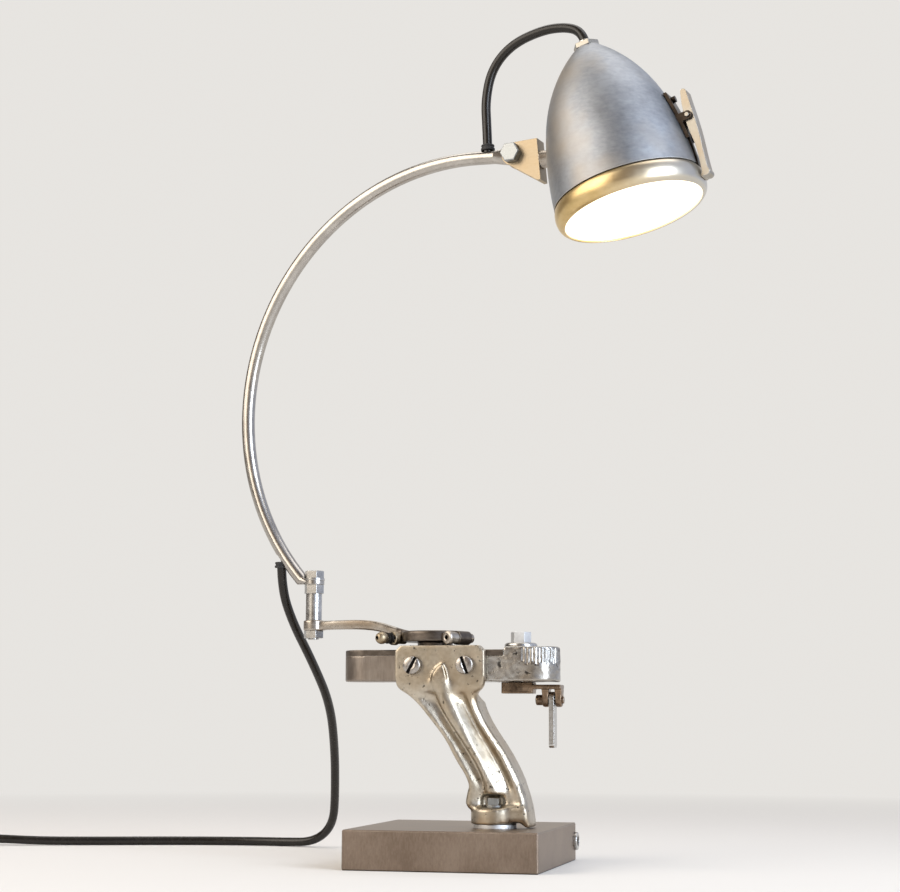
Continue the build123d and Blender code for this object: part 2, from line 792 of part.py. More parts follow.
# ---------------------------------------------------------------- arm: a bent tube with flattened ends
foot_plane = Plane(
    origin=arm_plane.from_local_coords(arm_foot),
    x_dir=arm_normal,
    z_dir=cos(foot_turn) * arm_out + Vector(0, 0, sin(foot_turn)),
)
foot_eye_plane = Plane(
    origin=arm_plane.from_local_coords((-eye_radius / 3, arm_eye_z + eye_thickness / 2)),
    x_dir=arm_normal,
    z_dir=-arm_out,
)
head_plane = Plane(
    origin=arm_plane.from_local_coords(top_eye - (eye_radius + flatten_length) * straight_way),
    x_dir=arm_normal,
    z_dir=straight_way.X * arm_out + Vector(0, 0, straight_way.Y),
)
lower_hole_heading = foot_turn - radians(lower_hole_turn)
lower_hole = bend_centre + arm_bend_radius * Vector(-sin(lower_hole_heading), cos(lower_hole_heading))
upper_hole = top_eye - upper_hole_back * straight_way
with BuildPart() as arm:
    with BuildLine(arm_plane) as arm_line:
        JernArc(pair(arm_foot), (cos(foot_turn), sin(foot_turn)), arm_bend_radius, -arm_bend)
        Line(pair(bend_end), pair(top_eye - (eye_radius + flatten_length) * straight_way))
    with BuildSketch(foot_plane):
        Circle(tube_radius)
        Circle(tube_radius - tube_wall, mode=Mode.SUBTRACT)
    sweep(path=arm_line.line)
    # Flattened foot with a level eye
    with BuildSketch(foot_plane):
        Circle(tube_radius)
    with BuildSketch(foot_eye_plane):
        Ellipse(eye_radius - 0.6, eye_thickness / 2)
    loft()
    with BuildSketch(level(arm_eye_z)):
        with Locations((pivot_x, pivot_y)):
            Circle(eye_radius)
    extrude(amount=eye_thickness)
    # Flattened head with an upright eye
    with BuildSketch(head_plane):
        Circle(tube_radius)
    with BuildSketch(head_plane.offset(flatten_length + eye_radius / 2)):
        Ellipse(eye_thickness / 2, eye_radius - 0.6)
    loft()
    with BuildSketch(arm_plane.offset(-eye_thickness / 2)):
        with Locations((top_eye.X, top_eye.Y)):
            Circle(eye_radius)
    extrude(amount=eye_thickness)
    # Bores of the two eyes
    with BuildSketch(level(arm_eye_z - 1)):
        with Locations((pivot_x, pivot_y)):
            Circle(bolt_radius + running_fit)
    extrude(amount=eye_thickness + 4, mode=Mode.SUBTRACT)
    with BuildSketch(arm_plane.offset(-2 * eye_thickness)):
        with Locations((top_eye.X, top_eye.Y)):
            Circle(bolt_radius + running_fit)
    extrude(amount=4 * eye_thickness, mode=Mode.SUBTRACT)
    # Seats that keep the flattened ends off the washer, the jam nut and the friction washers
    for bottom, height in ((arm_eye_top, 4 * tube_radius), (arm_eye_z, -4 * tube_radius)):
        with BuildSketch(level(bottom)):
            with Locations((pivot_x, pivot_y)):
                Circle(eye_radius + seat_gap)
        extrude(amount=height, mode=Mode.SUBTRACT)
    for side in (1, -1):
        with BuildSketch(arm_plane.offset(side * eye_thickness / 2)):
            with Locations((top_eye.X, top_eye.Y)):
                Circle(eye_radius + seat_gap)
        extrude(amount=side * 2 * tube_radius, mode=Mode.SUBTRACT)
    # Cord holes
    with BuildSketch(Plane(origin=arm_plane.from_local_coords(upper_hole), z_dir=(0, 0, 1))):
        Circle(cord_hole_radius)
    extrude(amount=2 * tube_radius, mode=Mode.SUBTRACT)
    with BuildSketch(
        Plane(
            origin=arm_plane.from_local_coords(lower_hole + Vector(-lower_hole_offset, 2.0)),
            z_dir=(0, 0, -1),
        )
    ):
        Circle(cord_hole_radius)
    extrude(amount=3 * tube_radius, mode=Mode.SUBTRACT)
write(arm, "arm_tube")

with BuildPart() as arm_wires:
    with BuildLine(arm_plane) as wires_line:
        JernArc(
            pair(lower_hole),
            (cos(lower_hole_heading), sin(lower_hole_heading)),
            arm_bend_radius,
            lower_hole_turn - arm_bend,
        )
        Line(pair(bend_end), pair(upper_hole))
    with BuildSketch(Plane(wires_line.line @ 0, z_dir=wires_line.line % 0)):
        Circle(wires_radius)
    sweep(path=wires_line.line)
write(arm_wires, "arm_wires")

# ---------------------------------------------------------------- shade bracket and its pivot
ear_outer = bracket_gap / 2 + bracket_sheet
with BuildPart() as bracket:
    with BuildSketch(bracket_plane.offset(-ear_outer)):
        with Locations((shade_bolt_at.X, shade_bolt_at.Y)):
            Circle(ear_radius)
        with BuildLine():
            Polyline(
                (0, bracket_up),
                (shade_bolt_at.X, shade_bolt_at.Y + ear_radius),
                (shade_bolt_at.X - 0.7 * ear_radius, shade_bolt_at.Y - 0.7 * ear_radius),
                (-bracket_sheet, -bracket_low),
                (0, -bracket_low),
                close=True,
            )
        make_face()
    extrude(amount=2 * ear_outer)
    with BuildSketch(bracket_plane.offset(-bracket_gap / 2)):
        with Locations((-bracket_sheet - 2 * shade_reach, -bracket_low)):
            Rectangle(4 * shade_reach, 8 * bracket_low)
    extrude(amount=bracket_gap, mode=Mode.SUBTRACT)
    with BuildSketch(bracket_plane.offset(-2 * ear_outer)):
        with Locations((shade_bolt_at.X, shade_bolt_at.Y)):
            Circle(bolt_radius + thread_fit)
    extrude(amount=4 * ear_outer, mode=Mode.SUBTRACT)
    with BuildSketch(into_shade.offset(-2 * bracket_sheet)):
        Circle(shade_screw_radius + thread_fit)
    extrude(amount=3 * bracket_sheet, mode=Mode.SUBTRACT)
write(bracket, "shade_bracket")

bolt_plane = Plane(arm_plane.from_local_coords(top_eye), x_dir=arm_out, z_dir=arm_normal)
friction_washer = bracket_gap / 2 - eye_thickness / 2 - 2 * running_fit
with BuildPart() as friction_washers:
    for side in (1, -1):
        with BuildSketch(bolt_plane.offset(side * (eye_thickness / 2 + running_fit))):
            Circle(eye_radius)
            Circle(bolt_radius + thread_fit, mode=Mode.SUBTRACT)
        extrude(amount=side * friction_washer)
write(friction_washers, "friction_washers")

with BuildPart() as shade_bolt:
    with BuildSketch(bolt_plane.offset(ear_outer)):
        hexagon(hex_flats)
    extrude(amount=hex_height + 1)
    chamfer(shade_bolt.edges().group_by(Axis((0, 0, 0), arm_normal))[-1], hex_bevel)
    with BuildSketch(bolt_plane.offset(-ear_outer - jam_nut - 1.5)):
        Circle(bolt_radius)
    extrude(amount=2 * ear_outer + jam_nut + 1.5)
write(shade_bolt, "shade_bolt")

with BuildPart() as shade_nut:
    with BuildSketch(bolt_plane.offset(-ear_outer)):
        hexagon(hex_flats)
        Circle(bolt_radius + thread_fit, mode=Mode.SUBTRACT)
    extrude(amount=-jam_nut)
write(shade_nut, "shade_nut")

# ---------------------------------------------------------------- shade shell
with BuildPart() as shade_form:
    with BuildSketch(shade_plane):
        with BuildLine():
            shell_line()
            Polyline(
                (skirt_radius, -skirt_down),
                (0, -skirt_down),
                (0, -shell_top),
                (gland_radius + running_fit, -shell_top),
            )
        make_face()
    revolve(axis=shade_axis)

with BuildPart() as shell:
    with BuildSketch(shade_plane):
        with BuildLine() as outline:
            shell_line()
            Polyline(
                (skirt_radius, -skirt_down),
                (spigot_radius, -skirt_down),
                (spigot_radius, -skirt_down - spigot),
                (0, -skirt_down - spigot),
                (0, -shell_top),
                (gland_radius + running_fit, -shell_top),
            )
        make_face()
    revolve(axis=shade_axis)
    offset(amount=-shell_wall, openings=shell.faces().sort_by(shade_axis)[0])
    with BuildSketch(across_shade(0)):
        Circle(gland_radius + running_fit)
    extrude(amount=-3 * shell_top, mode=Mode.SUBTRACT)
    with BuildSketch(into_shade):
        Circle(shade_screw_radius + thread_fit)
    extrude(amount=shade_reach / 3, mode=Mode.SUBTRACT)
write(shell, "shade_shell")

with BuildPart() as dome_spacer:
    with BuildSketch(into_shade):
        Circle(dome_radius)
    extrude(amount=shade_reach / 4, taper=12)
    with BuildSketch(into_shade):
        Circle(shade_screw_radius + thread_fit)
    extrude(amount=shade_reach / 4, mode=Mode.SUBTRACT)
    add(shade_form.part, mode=Mode.SUBTRACT)
write(dome_spacer, "bracket_spacer")

with BuildPart() as shade_screw:
    with BuildSketch(into_shade.offset(-bracket_sheet)):
        Circle(shade_screw_head_radius)
    extrude(amount=-shade_screw_head)
    fillet(shade_screw.edges().group_by(Axis(into_shade.origin, into_shade.z_dir))[0], 1.0)
    with BuildSketch(into_shade.offset(-bracket_sheet)):
        Circle(shade_screw_radius)
    extrude(amount=shade_screw_length)
write(shade_screw, "shade_screw")

with BuildPart() as shade_screw_nut:
    with BuildSketch(into_shade.offset(shade_screw_length - bracket_sheet - 4.4)):
        hexagon(2 * shade_screw_head_radius - 0.6)
        Circle(shade_screw_radius + thread_fit, mode=Mode.SUBTRACT)
    extrude(amount=3.2)
write(shade_screw_nut, "shade_screw_nut")

# ---------------------------------------------------------------- rim, lens, gasket and reflector
rim_inner_radius = spigot_radius + seat_gap
reflector_lip_down = skirt_down + spigot
gasket_down = reflector_lip_down + reflector_wall
lens_down = gasket_down + gasket
lens_low = lens_down + lens_thickness
rim_end = lens_low + rim_lip
bead_end = skirt_down + seat_gap + rim_bead
with BuildPart() as rim:
    with BuildSketch(shade_plane):
        with BuildLine():
            Polyline(
                (rim_inner_radius, -skirt_down - seat_gap),
                (rim_radius, -skirt_down - seat_gap),
                (rim_radius, -bead_end),
                (rim_radius - rim_step, -bead_end - 1),
                (rim_radius - rim_step, -lens_low),
            )
            ThreePointArc(
                (rim_radius - rim_step, -lens_low),
                (rim_radius - rim_step - 1, -rim_end + 0.6),
                (rim_lip_radius + 1, -rim_end),
            )
            Polyline(
                (rim_lip_radius + 1, -rim_end),
                (rim_lip_radius, -rim_end),
                (rim_lip_radius, -lens_low),
                (rim_inner_radius, -lens_low),
                (rim_inner_radius, -skirt_down - seat_gap),
            )
        make_face()
    revolve(axis=shade_axis)
write(rim, "rim_ring")

with BuildPart() as lens:
    with BuildSketch(across_shade(lens_low)):
        Circle(lens_radius)
    extrude(amount=lens_thickness)
    fillet(lens.edges().group_by(shade_axis)[-1], 0.8)
write(lens, "lens")

with BuildPart() as lens_gasket:
    with BuildSketch(across_shade(lens_down)):
        Circle(spigot_radius)
        Circle(gasket_inner_radius, mode=Mode.SUBTRACT)
    extrude(amount=gasket)
write(lens_gasket, "lens_gasket")

with BuildPart() as reflector:
    with BuildSketch(shade_plane):
        with BuildLine() as bowl:
            ThreePointArc(
                (reflector_mouth_radius, -gasket_down),
                (0.86 * reflector_mouth_radius, -(gasket_down + reflector_neck_down) / 2),
                (reflector_neck_radius, -reflector_neck_down),
            )
            offset(amount=reflector_wall, side=Side.RIGHT)
        make_face()
    revolve(axis=shade_axis)
    with BuildSketch(across_shade(gasket_down)):
        Circle(spigot_radius)
        Circle(reflector_mouth_radius, mode=Mode.SUBTRACT)
    extrude(amount=reflector_wall)
write(reflector, "reflector")

# ---------------------------------------------------------------- gland, lampholder and bulb
with BuildPart() as gland:
    with BuildSketch(across_shade(holder_down)):
        Circle(gland_radius)
        Circle(gland_bore_radius, mode=Mode.SUBTRACT)
    extrude(amount=holder_down + gland_rise)
write(gland, "gland_tube")

with BuildPart() as gland_nuts:
    nuts = ((shell_top, gland_flats), (shell_top + shell_wall + gland_nut, gland_lock_flats))
    for down, flats in nuts:
        with BuildSketch(across_shade(down)):
            hexagon(flats)
            Circle(gland_radius + thread_fit, mode=Mode.SUBTRACT)
        extrude(amount=gland_nut)
write(gland_nuts, "gland_nuts")

with BuildPart() as holder:
    with BuildSketch(across_shade(holder_down + holder_length)):
        Circle(holder_radius)
    extrude(amount=holder_length)
    fillet(holder.edges().group_by(shade_axis)[-1], 3.0)
    with BuildSketch(across_shade(holder_down + holder_length)):
        Circle(holder_radius - holder_wall)
    extrude(amount=holder_length - 2 * holder_wall, mode=Mode.SUBTRACT)
    with BuildSketch(across_shade(holder_down + holder_length)):
        Circle(gland_bore_radius)
    extrude(amount=holder_length, mode=Mode.SUBTRACT)
write(holder, "lampholder")

bulb_cap_down = holder_down + holder_length - 1
with BuildPart() as bulb_cap_shell:
    with BuildSketch(across_shade(bulb_cap_down)):
        Circle(bulb_cap_radius)
    extrude(amount=bulb_cap)
    chamfer(bulb_cap_shell.edges().group_by(shade_axis)[-1], 4.0)
    offset(amount=-bulb_cap_wall, openings=bulb_cap_shell.faces().sort_by(shade_axis)[0])
write(bulb_cap_shell, "bulb_cap")

with BuildPart() as bulb:
    with BuildSketch(shade_plane):
        with BuildLine():
            Polyline((0, -bulb_cap_down), (bulb_cap_radius, -bulb_cap_down))
            Spline(
                (bulb_cap_radius, -bulb_cap_down),
                (bulb_radius, -bulb_down),
                tangents=((0, -1), (0, -1)),
            )
            TangentArc((bulb_radius, -bulb_down), (0, -bulb_down - bulb_radius), tangent=(0, -1))
            Line((0, -bulb_down - bulb_radius), (0, -bulb_cap_down))
        make_face()
    revolve(axis=shade_axis)
    offset(amount=-bulb_wall, openings=bulb.faces().sort_by(shade_axis)[-1])
write(bulb, "bulb")

# ---------------------------------------------------------------- latch on the rim
latch_half = latch_width / 2
ear_start = latch_half + running_fit + 0.1
with BuildPart() as strap:
    with BuildSketch(shade_plane.offset(-strap_width / 2 - strap_sheet)):
        with BuildLine():
            shell_line()
            offset(amount=2 * strap_sheet, side=Side.LEFT)
        make_face()
        with Locations((skirt_radius, -(strap_start + strap_end) / 2)):
            Rectangle(skirt_radius, strap_end - strap_start, mode=Mode.INTERSECT)
    extrude(amount=strap_width + 2 * strap_sheet)
    with BuildSketch(shade_plane.offset(-strap_width / 2 - strap_sheet)):
        with Locations((latch_pin_reach, -latch_pin_down)):
            Circle(latch_pin_radius + 1.6)
        with Locations((latch_pin_reach - 5.6, -latch_pin_down)):
            Rectangle(8.0, 2 * latch_pin_radius + 3.2)
    extrude(amount=strap_width + 2 * strap_sheet)
    with BuildSketch(shade_plane.offset(-ear_start)):
        with Locations((skirt_radius + 2 * strap_sheet + 11.6, -latch_pin_down)):
            Rectangle(30.0, strap_end)
    extrude(amount=2 * ear_start, mode=Mode.SUBTRACT)
    add(shade_form.part, mode=Mode.SUBTRACT)
    with BuildSketch(shade_plane.offset(-strap_width)):
        with Locations((latch_pin_reach, -latch_pin_down)):
            Circle(latch_pin_radius + thread_fit)
    extrude(amount=2 * strap_width, mode=Mode.SUBTRACT)
write(strap, "latch_strap")

lever_inner = [
    (58.2, -64.5),
    (56.6, -74.0),
    (55.9, -84.0),
    (56.2, -94.0),
    (57.6, -106.0),
    (57.4, -117.0),
    (56.6, -127.0),
]
lever_end = (58.4, -130.4)
lever_top = (60.4, -63.6)
lever_outer = [(61.6, -126.0), (62.0, -112.0), (62.8, -96.0), (62.6, -80.0), (62.2, -65.5)]
with BuildPart() as latch_lever:
    with BuildSketch(shade_plane.offset(-latch_half)):
        with BuildLine():
            Spline(*lever_inner)
            ThreePointArc(lever_inner[-1], lever_end, lever_outer[0])
            Spline(*lever_outer)
            ThreePointArc(lever_outer[-1], lever_top, lever_inner[0])
        make_face()
    extrude(amount=latch_width)
    # Hollow back that leaves two side walls and the outer web
    with BuildSketch(shade_plane.offset(-latch_half + latch_sheet)):
        with BuildLine():
            Spline(*[(x - 2 * latch_sheet, y) for x, y in lever_outer[1:4]])
            Line(
                (lever_outer[3][0] - 2 * latch_sheet, lever_outer[3][1]),
                (lever_inner[1][0] - 6, lever_inner[1][1]),
            )
            Line(
                (lever_inner[1][0] - 6, lever_inner[1][1]),
                (lever_inner[4][0] - 6, lever_outer[1][1]),
            )
            Line(
                (lever_inner[4][0] - 6, lever_outer[1][1]),
                (lever_outer[1][0] - 2 * latch_sheet, lever_outer[1][1]),
            )
        make_face()
    extrude(amount=latch_width - 2 * latch_sheet, mode=Mode.SUBTRACT)
    # Curl that hooks under the rim's bead
    with BuildSketch(shade_plane.offset(-latch_half)):
        with Locations((rim_radius - rim_step + 1.9, -bead_end - 2.6)):
            Circle(1.3)
        with Locations((rim_radius - rim_step + 2.9, -bead_end - 2.0)):
            Rectangle(2.0, 3.0)
    extrude(amount=latch_width)
    with BuildSketch(shade_plane.offset(-latch_width)):
        with Locations((latch_pin_reach, -latch_pin_down)):
            Circle(latch_pin_radius + running_fit)
    extrude(amount=2 * latch_width, mode=Mode.SUBTRACT)
write(latch_lever, "latch_lever")

with BuildPart() as latch_pin:
    with BuildSketch(shade_plane.offset(-strap_width / 2 - 2 * strap_sheet)):
        with Locations((latch_pin_reach, -latch_pin_down)):
            Circle(latch_pin_radius)
    extrude(amount=strap_width + 4 * strap_sheet)
write(latch_pin, "latch_pin")

rivet_at = shade_plane.from_local_coords((rivet_reach, -(strap_start + rivet_margin), 0))
with BuildPart() as latch_rivet:
    with BuildSketch(Plane(origin=rivet_at, z_dir=shade_plane.x_dir)):
        Circle(rivet_radius)
    extrude(amount=rivet_head)
    add(shade_form.part, mode=Mode.SUBTRACT)
    add(strap.part, mode=Mode.SUBTRACT)
write(latch_rivet, "latch_rivet")

# ---------------------------------------------------------------- cam shaft, its arm, the clevis and the tag
with BuildPart() as cam_shaft:
    with BuildSketch(level(raised_top + cam_washer + flat_gap)):
        with Locations((cam_x, cam_y)):
            hexagon(hex_flats)
    extrude(amount=cam_head)
    chamfer(cam_shaft.edges().group_by(Axis.Z)[-1], hex_bevel)
    with BuildSketch(level(cam_arm_bottom)):
        with Locations((cam_x, cam_y)):
            Circle(bolt_radius)
    extrude(amount=raised_top + cam_washer + flat_gap - cam_arm_bottom)
write(cam_shaft, "cam_shaft")

with BuildPart() as cam_washer_ring:
    with BuildSketch(level(raised_top)):
        with Locations((cam_x, cam_y)):
            Circle(cam_washer_radius)
    extrude(amount=cam_washer)
    fillet(cam_washer_ring.edges().group_by(Axis.Z)[-1], 0.7 * cam_washer)
    with BuildSketch(level(raised_top)):
        with Locations((cam_x, cam_y)):
            Circle(bolt_radius + running_fit)
    extrude(amount=cam_washer, mode=Mode.SUBTRACT)
write(cam_washer_ring, "cam_washer")

tongue_bottom = clevis_pin_z + clevis_width / 2 + seat_gap
clevis_x = cam_x + ear_inner
with BuildPart() as cam_arm_part:
    with BuildSketch(level(cam_arm_bottom)):
        with Locations((cam_x + (cam_arm_front - cam_arm_back) / 2, cam_y)):
            RectangleRounded(cam_arm_back + cam_arm_front, cam_arm_width, 1.2)
    extrude(amount=cam_arm)
    with BuildSketch(level(tongue_bottom)):
        with Locations((cam_x + tongue_end / 2, cam_y)):
            Rectangle(tongue_end, clevis_width)
    extrude(amount=tongue)
    for start in (clevis_x, clevis_x + clevis_ear + clevis_slot):
        with BuildSketch(Plane.YZ.offset(start)):
            with Locations((cam_y, clevis_pin_z)):
                Circle(0.7 * clevis_width / 2)
            with Locations((cam_y, (clevis_pin_z + tongue_bottom) / 2)):
                Rectangle(1.4 * clevis_width / 2, tongue_bottom - clevis_pin_z)
        extrude(amount=clevis_ear)
    with BuildSketch(Plane.YZ.offset(clevis_x - 1)):
        with Locations((cam_y, clevis_pin_z)):
            Circle(clevis_pin_radius + thread_fit)
    extrude(amount=2 * clevis_ear + clevis_slot + 2, mode=Mode.SUBTRACT)
    with BuildSketch(level(cam_arm_bottom)):
        with Locations((cam_x, cam_y)):
            Circle(bolt_radius + thread_fit)
    extrude(amount=cam_arm, mode=Mode.SUBTRACT)
write(cam_arm_part, "cam_arm")

with BuildPart() as clevis_pin:
    with BuildSketch(Plane.YZ.offset(clevis_x)):
        with Locations((cam_y, clevis_pin_z)):
            Circle(clevis_pin_head_radius)
    extrude(amount=-clevis_pin_head)
    fillet(clevis_pin.edges().group_by(Axis.X)[0], 1.2)
    with BuildSketch(Plane.YZ.offset(clevis_x)):
        with Locations((cam_y, clevis_pin_z)):
            Circle(clevis_pin_radius)
    extrude(amount=2 * clevis_ear + clevis_slot + 1)
write(clevis_pin, "clevis_pin")

tag_x = clevis_x + clevis_ear + (clevis_slot - tag_thickness) / 2
with BuildPart() as tag:
    with BuildSketch(Plane.YZ.offset(tag_x)):
        with Locations((cam_y, clevis_pin_z)):
            Circle(tag_width / 2)
        with Locations((cam_y, clevis_pin_z - tag_drop / 2)):
            Rectangle(tag_width, tag_drop)
    extrude(amount=tag_thickness)
    fillet(tag.edges().filter_by(Axis.X).group_by(Axis.Z)[0], 2.5)
    with BuildSketch(Plane.YZ.offset(tag_x)):
        with Locations((cam_y, clevis_pin_z)):
            Circle(clevis_pin_radius + running_fit)
    extrude(amount=tag_thickness, mode=Mode.SUBTRACT)
write(tag, "hanging_tag")

# ---------------------------------------------------------------- cord from the shade into the arm
gland_top = shade_plane.from_local_coords((0, gland_rise, 0))
gland_end = gland_top + 9.5 * shade_plane.y_dir
loop_points = [
    gland_top,
    gland_end,
    (89.9, -53.1, 612.0),
    (70.3, -49.0, 613.2),
    (43.9, -43.4, 604.6),
    (29.2, -40.3, 586.5),
    (24.4, -39.2, 562.0),
    (25.6, -39.5, 541.0),
    (26.4, -39.6, 520.8),
]
cord_tube("cord_loop", loop_points)

# ---------------------------------------------------------------- cord from the arm to the floor
upper_drop_points = [
    (-141.1, -4.0, 221.6),
    (-141.6, -1.5, 203.0),
    (-138.0, 14.0, 178.5),
    (-131.0, 47.0, 147.5),
    (-129.1, 64.0, 132.0),
]
cord_tube("cord_drop_upper", upper_drop_points)

floor_bend = Vector(-187.0, 165.7, 3.7)
floor_turn = Vector(-215.0, 167.3, 3.6)
floor_start = floor_bend + 0.35 * (floor_turn - floor_bend)
lower_drop_points = [
    upper_drop_points[-1],
    (-127.2, 81.0, 116.5),
    (-132.6, 113.0, 80.5),
    (-139.4, 137.6, 45.0),
    (-143.4, 148.0, 25.3),
    (-149.9, 154.2, 14.9),
    (-159.2, 159.0, 7.8),
    (-170.7, 162.5, 4.1),
    floor_bend,
    floor_start,
]
cord_tube("cord_drop_lower", lower_drop_points)

# ---------------------------------------------------------------- cord along the floor to the switch
floor_points = [
    floor_start,
    floor_turn,
    (-250.0, 163.6, 3.6),
    (-296.0, 151.0, 3.6),
    (-345.0, 132.5, 3.6),
    (-390.0, 116.8, 3.8),
    (-422.4, 107.5, 5.5),
    (-440.0, 104.0, 5.5),
]
cord_tube("cord_floor", floor_points)

# The switch's plane: local x runs on along the cord, from the face that the cord enters.
switch_start = Vector(floor_points[-1])
switch_way = (switch_start - Vector(floor_points[-2])).normalized()


def switch_level(z):
    """Plane of the switch at a height z above the floor."""
    return Plane(origin=(switch_start.X, switch_start.Y, z), x_dir=switch_way, z_dir=(0, 0, 1))


switch_inner_length = switch_length - 2 * switch_wall
switch_inner_width = switch_width - 2 * switch_wall
switch_corner = switch_width / 4
with BuildPart() as switch_base:
    with BuildSketch(switch_level(0)):
        with Locations((switch_length / 2, 0)):
            RectangleRounded(switch_length, switch_width, switch_corner)
    extrude(amount=switch_split)
    fillet(switch_base.faces().sort_by(Axis.Z)[0].outer_wire().edges(), switch_wall / 2)
    with BuildSketch(switch_level(switch_wall)):
        with Locations((switch_length / 2, 0)):
            RectangleRounded(
                switch_inner_length, switch_inner_width, switch_corner - switch_wall
            )
    extrude(amount=switch_split - switch_wall, mode=Mode.SUBTRACT)
write(switch_base, "switch_base")

pivot_plane = Plane(
    origin=switch_level(rocker_pivot_z).from_local_coords((switch_length / 2, 0, 0)),
    x_dir=switch_way,
    z_dir=switch_level(0).y_dir,
)
lug_start = rocker_width / 2 + seat_gap
with BuildPart() as switch_cover:
    with BuildSketch(switch_level(switch_split)):
        with Locations((switch_length / 2, 0)):
            RectangleRounded(switch_length, switch_width, switch_corner)
    extrude(amount=switch_height - switch_split)
    fillet(switch_cover.faces().sort_by(Axis.Z)[-1].outer_wire().edges(), 1.5 * switch_wall)
    with BuildSketch(switch_level(switch_split)):
        with Locations((switch_length / 2, 0)):
            RectangleRounded(
                switch_inner_length, switch_inner_width, switch_corner - switch_wall
            )
    extrude(amount=switch_height - switch_wall - switch_split, mode=Mode.SUBTRACT)
    # Two lugs that carry the rocker's pins, beside its opening
    for side in (-1, 1):
        with BuildSketch(switch_level(rocker_bottom)):
            with Locations((switch_length / 2, side * (lug_start + switch_wall / 2))):
                Rectangle(rocker_radius, switch_wall)
        extrude(amount=switch_height - switch_wall - rocker_bottom)
    with BuildSketch(switch_level(rocker_bottom)):
        with Locations((switch_length / 2, 0)):
            Rectangle(2 * (rocker_radius + seat_gap), 2 * lug_start)
    extrude(amount=switch_height - rocker_bottom, mode=Mode.SUBTRACT)
    with BuildSketch(pivot_plane.offset(-lug_start - switch_wall)):
        Circle(rocker_pin_radius + running_fit)
    extrude(amount=2 * (lug_start + switch_wall), mode=Mode.SUBTRACT)
write(switch_cover, "switch_cover")

# The rocker leans towards the end that is pressed.
lean = radians(rocker_lean)
rocker_plane = Plane(
    origin=pivot_plane.origin,
    x_dir=cos(lean) * pivot_plane.x_dir + sin(lean) * pivot_plane.y_dir,
    z_dir=pivot_plane.z_dir,
)
top_reach = rocker_top - rocker_pivot_z
top_half = (rocker_radius**2 - top_reach**2) ** 0.5
low_reach = rocker_pivot_z - rocker_bottom
low_half = (rocker_radius**2 - low_reach**2) ** 0.5
with BuildPart() as switch_rocker:
    with BuildSketch(rocker_plane.offset(-rocker_width / 2)):
        with BuildLine():
            Line((-low_half, low_reach), (low_half, low_reach))
            ThreePointArc((low_half, low_reach), (rocker_radius, 0), (top_half, -top_reach))
            Line((top_half, -top_reach), (0, rocker_dip - top_reach))
            Line((0, rocker_dip - top_reach), (-top_half, -top_reach))
            ThreePointArc((-top_half, -top_reach), (-rocker_radius, 0), (-low_half, low_reach))
        make_face()
    extrude(amount=rocker_width)
    with BuildSketch(pivot_plane.offset(-lug_start - rocker_pin)):
        Circle(rocker_pin_radius)
    extrude(amount=2 * (lug_start + rocker_pin))
write(switch_rocker, "switch_rocker")

# ---------------------------------------------------------------- coil and the cord beside it
switch_end = switch_start + switch_length * switch_way
tail_in_points = [
    switch_end,
    switch_end + 15.5 * switch_way,
    (-530.0, 85.0, 6.0),
]
cord_tube("cord_tail_in", tail_in_points)

with BuildPart() as cord_coil:
    with BuildSketch():
        with Locations((coil_x, coil_y)):
            Circle(coil_radius + coil_band / 2)
            Circle(coil_radius - coil_band / 2, mode=Mode.SUBTRACT)
    extrude(amount=coil_height)
    fillet(cord_coil.edges(), cord_radius)
write(cord_coil, "cord_coil")

tail_out_points = [
    (-541.0, 6.6, 6.0),
    (-524.0, 3.2, 6.4),
    (-504.0, 0.5, 7.3),
    (-486.0, 0.5, 7.3),
]
cord_tube("cord_tail_out", tail_out_points)

# ---------------------------------------------------------------- plug
plug_x, plug_y, plug_z = tail_out_points[-1]
plug_wide_at = 0.35 * plug_length


def plug_section(down, side=0):
    """Plane across the plug, at a distance from the cord, with local x across its pins."""
    centre = (plug_x + down, plug_y + side * plug_pin_pitch / 2, plug_z)
    return Plane(origin=centre, x_dir=(0, 1, 0), z_dir=(1, 0, 0))


with BuildPart() as plug_body:
    for down, wide, thick in (
        (0, 2.6 * cord_radius, 2.4 * cord_radius),
        (plug_wide_at, 0.62 * plug_width, 0.92 * plug_thickness),
        (plug_length, plug_width, plug_thickness),
    ):
        with BuildSketch(plug_section(down)):
            Ellipse(wide / 2, thick / 2)
    loft()
    for side in (-1, 1):
        with BuildSketch(plug_section(plug_length, side)):
            Circle(plug_pin_radius + thread_fit)
        extrude(amount=-plug_pin_length / 2, mode=Mode.SUBTRACT)
write(plug_body, "plug_body")

with BuildPart() as plug_pins:
    for side in (-1, 1):
        with BuildSketch(plug_section(plug_length - plug_pin_length / 2, side)):
            Circle(plug_pin_radius)
        extrude(amount=1.5 * plug_pin_length)
    fillet(plug_pins.edges().group_by(Axis.X)[-1], plug_pin_radius / 2)
write(plug_pins, "plug_pins")
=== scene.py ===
# %% [markdown]
# # Desk lamp with a swept tube arm
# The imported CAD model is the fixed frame: its solids, bodies and joints stay as they are. This
# lesson adds the cord, the finishes and the small pieces that only show up close. Lengths are in
# metres, +Z is up and +X is the side where the shade hangs.

import json
import math
import bpy
from mathutils import Matrix, Vector

